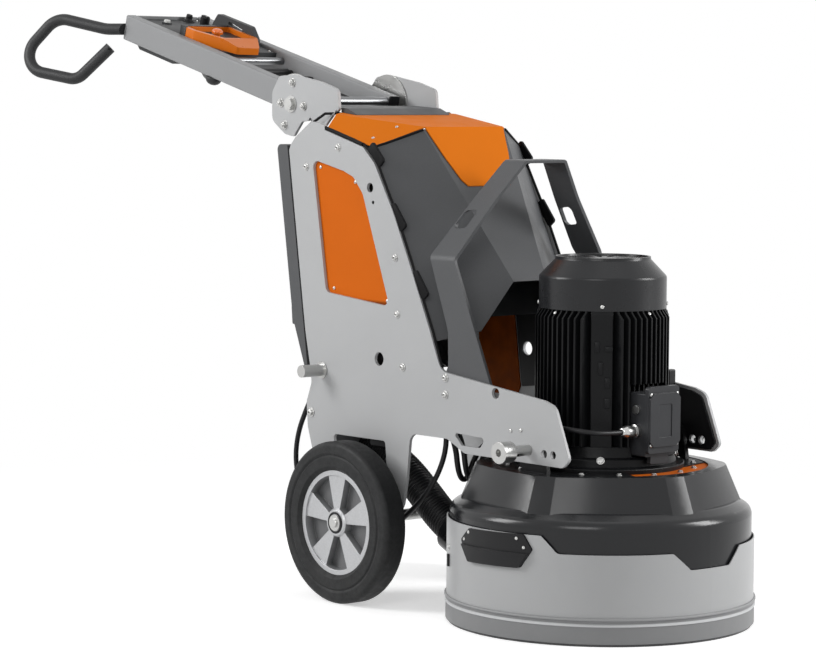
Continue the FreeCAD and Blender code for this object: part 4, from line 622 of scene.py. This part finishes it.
def tube_along(shape, points, radii, sides=12):
    """A round tube along points in metres; radii gives one radius per point, in metres."""
    rings = []
    last = len(points) - 1
    side = None
    for k, point in enumerate(points):
        ahead = (points[min(k + 1, last)] - points[max(k - 1, 0)]).normalized()
        if side is None:
            side = ahead.orthogonal().normalized()
        side = (side - ahead * side.dot(ahead)).normalized()
        other = ahead.cross(side)
        rings.append([shape.verts.new(point + radii[k] * (math.cos(a) * side + math.sin(a) * other))
                      for a in (2 * math.pi * j / sides for j in range(sides))])
    for low, high in zip(rings, rings[1:]):
        band(shape, low, high)
    shape.faces.new(list(reversed(rings[0])))
    shape.faces.new(rings[-1])


# ---------------------------------------------------------------- cables and hoses
# Routes in millimetres from the foot of the head's axis, and the hose's ribs in metres.
LOOP_ROUTE = [(-780, -205, 704.7), (-780, -205, 650), (-784, -218, 590), (-790, -232, 530),
              (-826, -239, 462), (-862, -241, 392), (-874, -240, 318), (-856, -236, 246),
              (-802, -230, 186), (-724, -226, 150), (-634, -225, 141), (-542, -225, 164),
              (-458, -227, 216), (-385, -229, 272), (-328, -230, 338), (-298, -230, 410),
              (-306, -231, 484), (-343, -231, 550), (-410, -230, 597), (-485, -226, 618),
              (-550, -212, 640), (-550, -212, 704.7)]
HOSE_ROUTE = [(-379, -100, 163.7), (-448.6, -100, 196.2), (-525, -100, 256), (-590, -100, 304),
              (-665, -100, 341), (-735, -100, 370)]
MIST_ROUTE = [(-452, -193, 704.7), (-452, -193, 655), (-438, -193, 604), (-404, -190, 556),
              (-362, -186, 510), (-326, -181, 460), (-294, -180, 404), (-290, -176, 348),
              (-304, -149.8, 318.3), (-323.8, -112.8, 318.3), (-337.8, -86.6, 348),
              (-322, -74, 388), (-282, -74, 406), (-204, -78, 400)]
SECOND_END = [(-338, -87, 388), (-298, -92, 410), (-221, -97, 402)]
SECOND_ROUTE = [(x - 15, y - 12, z) for x, y, z in MIST_ROUTE[:11]] + SECOND_END
MOTOR_ROUTE = [(168, -101.3, 476), (168, -160, 476), (146, -206, 483), (92, -228, 489),
               (20, -232, 493), (-60, -231, 501), (-136, -229, 520), (-206, -224, 553),
               (-280, -214, 592), (-350, -200, 612), (-418, -176, 620), (-500, -150, 640),
               (-500, -150, 704.7)]
RIB_PITCH = 0.009
STEPS_PER_RIB = 6
VALLEY_RADIUS = 0.0405
RIB_HEIGHT = 0.0033
RIB_FULLNESS = 0.7


def spline(name, route):
    """A smooth NURBS curve whose control points are the route's points."""
    data = bpy.data.curves.new(name, "CURVE")
    data.dimensions = "3D"
    line = data.splines.new("NURBS")
    line.points.add(len(route) - 1)
    for knot, place in zip(line.points, route):
        knot.co = (*at(*place), 1.0)
    line.order_u = 3
    line.use_endpoint_u = True
    data.resolution_u = 12
    made = bpy.data.objects.new(name, data)
    scene.collection.objects.link(made)
    return made


def cable(name, route, radius, node):
    """A round cable along a route, in place of the CAD's; radius in mm and length in m."""
    made = spline(name, route)
    made.data.bevel_depth = radius * MM
    made.data.bevel_resolution = 6
    made.data.use_fill_caps = True
    made.data.materials.append(MATERIALS["cable"])
    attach(made, "chassis")
    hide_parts(node)


def route_line(route):
    """The points along the smooth curve of a route."""
    guide = spline("hose_line", route)
    line = bpy.data.meshes.new_from_object(guide)
    points = [v.co.copy() for v in line.vertices]
    bpy.data.meshes.remove(line)
    bpy.data.objects.remove(guide)
    return points


def corrugated_hose():
    """The dust hose, with rounded ribs from end to end."""
    line = route_line(HOSE_ROUTE)
    run = [0.0]
    for a, b in zip(line, line[1:]):
        run.append(run[-1] + (b - a).length)
    count = int(run[-1] / RIB_PITCH * STEPS_PER_RIB)
    points = []
    radii = []
    spot = 0
    for k in range(count + 1):
        along = run[-1] * k / count
        while spot < len(run) - 2 and run[spot + 1] < along:
            spot += 1
        part = (along - run[spot]) / (run[spot + 1] - run[spot])
        points.append(line[spot].lerp(line[spot + 1], part))
        wave = 0.5 + 0.5 * math.cos(2 * math.pi * along / RIB_PITCH)
        radii.append(VALLEY_RADIUS + RIB_HEIGHT * wave ** RIB_FULLNESS)
    shape = bmesh.new()
    tube_along(shape, points, radii, sides=48)
    made = piece("dust_hose_ribbed", shape, "hose", "chassis", sharp=60.0)
    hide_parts("dust_hose")


cable("supply_cable", LOOP_ROUTE, 6.5, "cable_loop")
cable("motor_lead", MOTOR_ROUTE, 6.0, "motor_cable")
cable("mist_hose_a", MIST_ROUTE, 7.0, "mist_hoses")
cable("mist_hose_b", SECOND_ROUTE, 7.0, "mist_hoses")
corrugated_hose()

# ---------------------------------------------------------------- fasteners
# Profiles of (radius, height) in shares of a screw's size; a 6 makes that ring a hexagon.
HEADS = {
    "socket": [(0, 0), (1.45, 0), (1.45, 0.2), (1.38, 0.27), (1.0, 0.27), (1.0, 0.5),
               (0.94, 0.72), (0.76, 0.9), (0.54, 0.97), (0.48, 0.93, 6), (0.46, 0.45, 6),
               (0, 0.45)],
    "hex": [(0, 0), (1.5, 0), (1.5, 0.2), (1.43, 0.27), (1.15, 0.27, 6), (1.15, 0.85, 6),
            (1.0, 0.97), (0.7, 0.99), (0, 0.99)],
    "nut": [(0, 0), (1.5, 0), (1.5, 0.2), (1.43, 0.27), (1.15, 0.27, 6), (1.15, 0.95, 6),
            (0.95, 1.05), (0.62, 1.05), (0.6, 1.35), (0.5, 1.45), (0, 1.45)],
    "pan": [(0, 0), (1.0, 0), (1.0, 0.25), (0.9, 0.5), (0.68, 0.66), (0.4, 0.72), (0.34, 0.68, 6),
            (0.32, 0.35, 6), (0, 0.35)],
    "rivet": [(0, 0), (1.0, 0), (0.95, 0.25), (0.7, 0.5), (0.35, 0.58), (0.28, 0.45), (0, 0.42)],
}
# The kind, the size and the places (x, z) on both side plates.
PLATE_SCREWS = [
    ("socket", 7, [(-685, 1127), (-811, 1076), (-464, 861), (-455, 722)]),
    ("socket", 7.5, [(-276, 579), (-276, 538)]),
    ("socket", 8.5, [(-788, 452)]),
    ("socket", 7, [(-433, 593)]),
    ("pan", 4.5, [(-43, 472), (-8, 476)]),
    ("nut", 8.2, [(-976, 1289), (-1024, 1236), (-930, 1228), (-1008, 1179)]),
]
WINDOW_SCREWS = [(-762, 1076), (-626, 1042), (-707, 773), (-501, 752)]
HOOD_SCREWS = [(-588, 225), (-566, 166)]
ABOVE_HOOD = 1400
# The bolt circles are radii in millimetres; a bolt is left out where something covers the plate.
TOP_PLATE_BOLTS = 16
TOP_PLATE_CIRCLE = 226
TOP_PLATE_LIMIT = 0.384
ABOVE_TOP_PLATE = 600
FLANGE_CIRCLE = 178
ABOVE_FLANGE = 434
CORNERS = (-45, 45, 135, -135)
FACES = (0, 90, 180, -90)
COWL_SCREW_Z = 767
MOTOR_SCREW_Z = 749
BEFORE_BOX = 400
BOX_SCREWS = [(-43, 444), (-43, 563), (43, 444), (43, 563)]
PAD_RIVETS = [(-100, 239), (-103, 220), (-75.7, 242), (-72.7, 222)]
CATCH_AZIMUTHS = (-121, 121)
CATCH_Z = 152
CATCH_SCREW_Z = 184


def fasten(name, body, items):
    """One mesh of screws; an item is the kind, its size and the (place, direction) it sits on."""
    shape = bmesh.new()
    for kind, size, (place, axis) in items:
        turned(shape, place, axis, HEADS[kind], size)
    piece(name, shape, "zinc", body)


def chassis_screws():
    """Screws and nuts in the side plates, the window panels and the hood."""
    plate_items = []
    panel_items = []
    for side_name, side in SIDES.items():
        for kind, size, places in PLATE_SCREWS:
            for x, z in places:
                plate_items.append((kind, size, from_side("side_frame_" + side_name, side, x, z)))
        for x, z in WINDOW_SCREWS:
            panel_items.append(("pan", 4.5, from_side("window_panels", side, x, z)))
        for x, y in HOOD_SCREWS:
            panel_items.append(("pan", 4.0, hit(["hood"], at(x, side * y, ABOVE_HOOD), DOWN)))
    fasten("plate_bolts", "chassis", plate_items)
    fasten("panel_screws", "chassis", panel_items)


def head_screws():
    """Bolts on the head's plates, and screws in the motor, its cowl and its box."""
    items = []
    for k in range(TOP_PLATE_BOLTS):
        above = polar(TOP_PLATE_CIRCLE, 360 / TOP_PLATE_BOLTS * (k + 0.5), ABOVE_TOP_PLATE)
        spot = hit(["head_lugs", "top_plate", "motor_flange", "terminal_box"], above, DOWN)
        if spot[0].z < TOP_PLATE_LIMIT:
            items.append(("hex", 5.0, spot))
    for azimuth in CORNERS:
        above = polar(FLANGE_CIRCLE, azimuth, ABOVE_FLANGE)
        items.append(("hex", 6.5, hit(["motor_flange"], above, DOWN)))
        items.append(("pan", 5.0, from_outside(["fan_cowl"], azimuth, COWL_SCREW_Z)))
    for azimuth in FACES:
        items.append(("pan", 4.5, from_outside(["motor_housing"], azimuth, MOTOR_SCREW_Z)))
    for y, z in BOX_SCREWS:
        items.append(("pan", 4.5, hit(["terminal_box"], at(BEFORE_BOX, y, z), BACKWARD)))
    fasten("head_screws", "head", items)


def skirt_fittings():
    """Rivets in the skirt's pads, and two catches with a bolt above each."""
    items = []
    for azimuth, z in PAD_RIVETS:
        for mirrored in (azimuth, -azimuth):
            items.append(("rivet", 4.2, from_outside(["skirt_pads"], mirrored, z)))
    for azimuth in CATCH_AZIMUTHS:
        items.append(("hex", 4.6, from_outside(["skirt_band"], azimuth, CATCH_SCREW_Z)))
    fasten("pad_rivets", "skirt", items)
    catches = bmesh.new()
    for azimuth in CATCH_AZIMUTHS:
        spot, out = from_outside(["skirt_band"], azimuth, CATCH_Z)
        slab(catches, spot - out * 0.0005, out, 13, 30, 5.5, corner=3)
    piece("skirt_catches", catches, "black_plastic", "skirt")


chassis_screws()
head_screws()
skirt_fittings()

# ---------------------------------------------------------------- small fittings
# The ends (x, z) of the clips along the side plates' front edges.
CLIPS = [((-566, 1135), (-522, 1089)), ((-485, 989), (-438, 932)), ((-401, 828), (-355, 769))]
CLIP_Y = 248.0
CLIP_WIDTH = 27
CLIP_THICK = 6.5
# Black beads on the right and left alike, standing as painted shade in the gaps along the cover's
# edges: the radius in metres, and the points.
COVER_EDGE = [(-742, 1176), (-700, 1165), (-640, 1149), (-595, 1136), (-572, 1123), (-540, 1092),
              (-505, 1032), (-468, 970), (-438, 910), (-410, 855), (-372, 776), (-331, 691),
              (-310, 640), (-294, 600)]
SHADOW_BEADS = [
    (0.0034, [(x, 250.6, z) for x, z in COVER_EDGE]),
    (0.0046, [(x, 252.5, z) for x, z in COVER_EDGE[:4]]),
    (0.0035, [(-792.5, 247.5, 1190), (-792.5, 230, 1200), (-792.5, 211, 1210.5),
              (-792.5, 162, 1211)]),
    (0.0032, [(-562, 248, 1129.5), (-545, 222, 1139.5), (-521, 180, 1156.5),
              (-497.5, 138.5, 1173.5)]),
]
PLUG_PLACE = (-549, 994)
PLUG = [(0, 0), (1.0, 0), (0.9, 0.12), (0.6, 0.14), (0.5, 0.02), (0, 0.02)]
# The section (x, y) of the black strip that stands as painted shade in the gap beside the rear
# door, and the heights of its rows.
DOOR_SHADOW_SECTION = [(1.5, 239), (1.5, 241.0), (4, 241.8), (20, 241.8), (23, 241.2), (24, 239)]
DOOR_SHADOW_FOOT = 546
DOOR_SHADOW_STEP = 29.1
DOOR_SHADOW_ROWS = 21
DOOR_TOP = 1117.0
DOOR_TOP_X = -884.0
DOOR_LEAN = 0.1505
# The side of the motor it faces, its place (azimuth, z), and its length, width and thickness.
MOTOR_LUGS = [(-45, -49, 672, 12, 26, 3.0), (-45, -39, 668, 18, 12, 6.5),
              (-45, -46, 622, 11, 30, 6.0), (-45, -40, 588, 12, 24, 5.0),
              (-45, -40, 540, 14, 24, 5.0), (135, 131, 622, 12, 30, 6.0),
              (135, 139, 560, 12, 24, 5.0)]
LUG_SUNK = 2
WHEEL_X = -569
WHEEL_Z = 202
HUB_REACH = 24
BEARING_RING = [(21.5, 0.1), (27, 0.1), (27, 1.2), (25.5, 2.0), (23, 2.0), (21.5, 1.2),
                (21.5, 0.1)]
BUFFER_X = -396
BUFFER_Y = 123.3
RAIL_UNDERSIDE = -31
BUFFER = [(0, 0), (21, 0), (22, 3), (21.5, 8), (19, 14), (14.5, 18.5), (8, 21.5), (0, 22.5)]


def cover_clips():
    """Flat rubber clips on the sloping edges of the side plates."""
    shape = bmesh.new()
    for side in SIDES.values():
        outward = (0, side, 0)
        for (x0, z0), (x1, z1) in CLIPS:
            middle = at((x0 + x1) / 2, side * CLIP_Y, (z0 + z1) / 2)
            run = Vector((x1 - x0, 0, z1 - z0))
            along = facing(middle, outward).to_3x3().inverted() @ run
            slab(shape, middle, outward, math.hypot(run.x, run.z), CLIP_WIDTH, CLIP_THICK,
                 corner=7, turn=math.degrees(math.atan2(along.y, along.x)))
    piece("cover_clips", shape, "rubber_and_shade_black", "chassis")


def shadow_beads_and_plugs():
    """Black beads along the cover's edges, standing as painted shade in the gaps there, and a plug
    in each side plate.
    """
    shape = bmesh.new()
    for side_name, side in SIDES.items():
        for radius, places in SHADOW_BEADS:
            points = [at(x, side * y, z) for x, y, z in places]
            tube_along(shape, points, [radius] * len(points))
        plug, out = from_side("side_frame_" + side_name, side, *PLUG_PLACE)
        turned(shape, plug, out, PLUG, 4.6)
    piece("shadow_beads_and_plugs", shape, "rubber_and_shade_black", "chassis", sharp=50.0)


def door_edge(x, y, z):
    """A point on the door's side, x behind the cabinet's rear rim."""
    return at(DOOR_TOP_X + (DOOR_TOP - z) * DOOR_LEAN - x, y, z)


def door_shadow_strip():
    """A black strip up each side of the rear door, standing as painted shade in the gap there."""
    shape = bmesh.new()
    for side in SIDES.values():
        rows = []
        for k in range(DOOR_SHADOW_ROWS):
            z = DOOR_SHADOW_FOOT + DOOR_SHADOW_STEP * k
            rows.append([shape.verts.new(door_edge(x, side * y, z)) for x, y in DOOR_SHADOW_SECTION])
        for low, high in zip(rows, rows[1:]):
            band(shape, low, high)
        shape.faces.new(rows[0])
        shape.faces.new(list(reversed(rows[-1])))
    piece("door_shadow_strip", shape, "rubber_and_shade_black", "door", sharp=25.0)


def motor_lugs():
    """Cast lugs between the motor's fins."""
    shape = bmesh.new()
    for faced, azimuth, z, length, width, thick in MOTOR_LUGS:
        spot, _ = from_outside(["motor_housing"], azimuth, z)
        out = polar(1, faced, 0) - polar(0, faced, 0)
        slab(shape, spot - out.normalized() * (LUG_SUNK * MM), out, length, width,
             thick + LUG_SUNK, corner=2.5)
    piece("motor_lugs", shape, "motor_black", "head")


def bearing_rings():
    """A black ring round the bearing in each rim's face."""
    for side_name, side in SIDES.items():
        face, _ = from_side("rim_" + side_name, side, WHEEL_X + HUB_REACH, WHEEL_Z)
        centre = at(WHEEL_X, 0, WHEEL_Z)
        centre.y = face.y
        shape = bmesh.new()
        turned(shape, centre, (0, side, 0), BEARING_RING, steps=48)
        piece("bearing_ring_" + side_name, shape, "black_plastic", "wheel_" + side_name)


def rail_buffers():
    """Rubber buffers under the handle's rails."""
    shape = bmesh.new()
    for side in SIDES.values():
        place = on_handle(BUFFER_X, side * BUFFER_Y, RAIL_UNDERSIDE)
        turned(shape, place, HANDLE_DOWN, BUFFER, steps=32)
    piece("rail_buffers", shape, "rubber", "handle")


cover_clips()
shadow_beads_and_plugs()
door_shadow_strip()
motor_lugs()
bearing_rings()
rail_buffers()

# ---------------------------------------------------------------- controls
# Places along the handle count from its rear end; the controls stand on the tray.
REAR = -805
HOUSE = REAR + 205
BEHIND_HANDLE = REAR - 300
TRAY_TOP = 30
ABOVE_TRAY = 200
SPEED_KNOB = REAR + 98
MODE_KNOB = REAR + 25
KNOB_Y = 58
STOP_BUTTON = (REAR + 287, -40)
HOUSING_TOP = 47.0
MAT_THICK = 1.6
MAT_HOLE = 20.5
MAT_STEP = 6.0
BACK_TOP = 63.5
PLATE_THICK = 4.0
# Plan corners (x, y, radius).
HOUSING_MAT = [(HOUSE + 16, -92, 5), (HOUSE + 56, -92, 7), (HOUSE + 133, -58, 7),
               (HOUSE + 133, 30, 7), (HOUSE + 114, 47, 7), (HOUSE + 16, 47, 5)]
HOUSING_BACK = [(HOUSE - 2, -106, 4), (HOUSE + 30, -106, 2), (HOUSE + 12, -92, 2),
                (HOUSE + 12, 58, 2), (HOUSE - 2, 58, 4)]
BUTTON_PLATE = [(REAR + 84, -96, 10), (REAR + 196, -96, 10), (REAR + 196, 30, 6),
                (REAR + 128, 30, 6), (REAR + 84, -10, 10)]
SPEED_RING = [(17, 0), (22, 0), (22, 2), (20.5, 3.5), (17.5, 3.5), (17, 2.5), (17, 0)]
MODE_RING = [(13, 0), (17, 0), (17, 2), (16, 3.2), (13.5, 3.2), (13, 2.4), (13, 0)]
STOP_RING = [(15, 0), (20, 0), (20, 3.5), (19, 5), (16.5, 5.6), (15.4, 5), (15, 4), (15, 0)]
TRAY_SCREWS = [(REAR + 18, -92), (REAR + 18, 92), (REAR + 360, -92), (REAR + 360, 92),
               (REAR + 92, -88), (REAR + 186, -88)]


def outline_plate(shape, corners, low, high, soft):
    """A flat plate in the handle's frame from a plan outline, its top rim softened."""
    middle = Vector((sum(x for x, _ in corners) / len(corners),
                     sum(y for _, y in corners) / len(corners)))
    rings = []
    for inset, z in softened(low, high, soft):
        ring = []
        for x, y in corners:
            inward = (middle - Vector((x, y))).normalized() * inset * 1.4
            ring.append(shape.verts.new(on_handle(x + inward.x, y + inward.y, z)))
        rings.append(ring)
    closed_stack(shape, rings)


def rounded(corners):
    """Plan corners (x, y, radius) turned into points with arcs."""
    points = []
    count = len(corners)
    for k, (x, y, radius) in enumerate(corners):
        here = Vector((x, y))
        back = (Vector(corners[k - 1][:2]) - here).normalized()
        ahead = (Vector(corners[(k + 1) % count][:2]) - here).normalized()
        half = back.angle(ahead) / 2
        reach = radius / math.tan(half)
        centre = here + (back + ahead).normalized() * radius / math.sin(half)
        first = here + back * reach - centre
        sweep = first.angle_signed(here + ahead * reach - centre)
        for step in range(ARC_STEPS + 1):
            turn = -sweep * step / ARC_STEPS
            points.append((centre.x + first.x * math.cos(turn) - first.y * math.sin(turn),
                           centre.y + first.x * math.sin(turn) + first.y * math.cos(turn)))
    return points


def outline_ring(shape, corners, centre, radius, low, high):
    """A flat mat in the handle's frame with a round hole in it."""
    loops = []
    for z in (low, high):
        outer = []
        inner = []
        for x, y in corners:
            away = (Vector((x, y)) - Vector(centre)).normalized() * radius
            outer.append(shape.verts.new(on_handle(x, y, z)))
            inner.append(shape.verts.new(on_handle(centre[0] + away.x, centre[1] + away.y, z)))
        loops.append((outer, inner))
    (low_out, low_in), (high_out, high_in) = loops
    for a, b in ((low_out, high_out), (high_out, high_in), (high_in, low_in), (low_in, low_out)):
        band(shape, a, b)


def divided(points):
    """The same outline with no side longer than a step of the mat."""
    made = []
    for k, first in enumerate(points):
        a = Vector(first)
        b = Vector(points[(k + 1) % len(points)])
        parts = max(1, math.ceil((b - a).length / MAT_STEP))
        made += [tuple(a.lerp(b, j / parts)) for j in range(parts)]
    return made


def control_trim():
    """The mat and back of the housing, the plate under the buttons, and rings round the knobs."""
    shape = bmesh.new()
    outline_ring(shape, divided(rounded(HOUSING_MAT)), STOP_BUTTON, MAT_HOLE, HOUSING_TOP,
                 HOUSING_TOP + MAT_THICK)
    outline_plate(shape, rounded(HOUSING_BACK), TRAY_TOP + 0.2, BACK_TOP, 1.5)
    outline_plate(shape, rounded(BUTTON_PLATE), TRAY_TOP, TRAY_TOP + PLATE_THICK, 1.2)
    for x, ring in ((SPEED_KNOB, SPEED_RING), (MODE_KNOB, MODE_RING)):
        turned(shape, on_handle(x, KNOB_Y, TRAY_TOP + 0.1), HANDLE_UP, ring, steps=40)
    piece("control_trim", shape, "black_plastic", "handle")


def stop_collar():
    """The raised collar round the stop button."""
    shape = bmesh.new()
    turned(shape, on_handle(*STOP_BUTTON, HOUSING_TOP + 0.1), HANDLE_UP, STOP_RING, steps=40)
    piece("stop_collar", shape, "stop_orange", "handle")


def handle_screws():
    """Screws in the control tray, and a bolt on each side of the handle's end plate."""
    items = []
    for x, y in TRAY_SCREWS:
        above = on_handle(x, y, ABOVE_TRAY)
        items.append(("pan", 3.6, hit(["control_tray"], above, HANDLE_DOWN)))
    for side in SIDES.values():
        behind = on_handle(BEHIND_HANDLE, side * 70, 12)
        items.append(("hex", 5.5, hit(["end_plate"], behind, HANDLE_FORWARD)))
    fasten("handle_screws", "handle", items)


def knob_mark(knob, x, radius, height):
    """A white line on top of a knob."""
    shape = bmesh.new()
    slab(shape, on_handle(x + radius * 0.45, KNOB_Y, TRAY_TOP + height), HANDLE_UP, radius * 0.7,
         1.6, 0.4, corner=0.7)
    piece(knob + "_mark", shape, "button_white", knob)


control_trim()
stop_collar()
handle_screws()
knob_mark("speed", SPEED_KNOB, 15, 35)
knob_mark("mode", MODE_KNOB, 11, 21)

# ---------------------------------------------------------------- rear door
BEHIND = -1400
DOOR_Y = -205
LOCK_HEIGHTS = (650, 1010)
LOCK_ROSE = [(0, 0), (15, 0), (15, 2), (13.5, 3.2), (11, 3.2), (10.5, 2.4), (0, 2.4)]
# Each slab's length, width and thickness.
LOCK_KEY = (17, 5.5, 4.5)
PULL_BASE = (34, 128, 2.2)
PULL_GRIP = (20, 104, 7.0)
PULL_HEIGHT = 830
DOOR_SCREWS = [(-212, 575), (-212, 1098), (212, 575), (212, 1098)]


def from_behind(y, z):
    """A spot on the rear door's outer face."""
    return hit(["rear_door"], at(BEHIND, y, z), FORWARD)


def door_fittings():
    """Two quarter-turn locks, a pull and four screws on the rear door."""
    metal = bmesh.new()
    black = bmesh.new()
    for z in LOCK_HEIGHTS:
        spot, out = from_behind(DOOR_Y, z)
        turned(metal, spot, out, LOCK_ROSE, steps=36)
        slab(black, spot + out * 0.0024, out, *LOCK_KEY, corner=2.6)
    spot, out = from_behind(DOOR_Y, PULL_HEIGHT)
    slab(black, spot, out, *PULL_BASE, corner=9)
    slab(black, spot + out * 0.0022, out, *PULL_GRIP, corner=7)
    for y, z in DOOR_SCREWS:
        turned(metal, *from_behind(y, z), HEADS["pan"], 4.5)
    piece("door_locks", metal, "zinc", "door")
    piece("door_pull", black, "black_plastic", "door")


door_fittings()
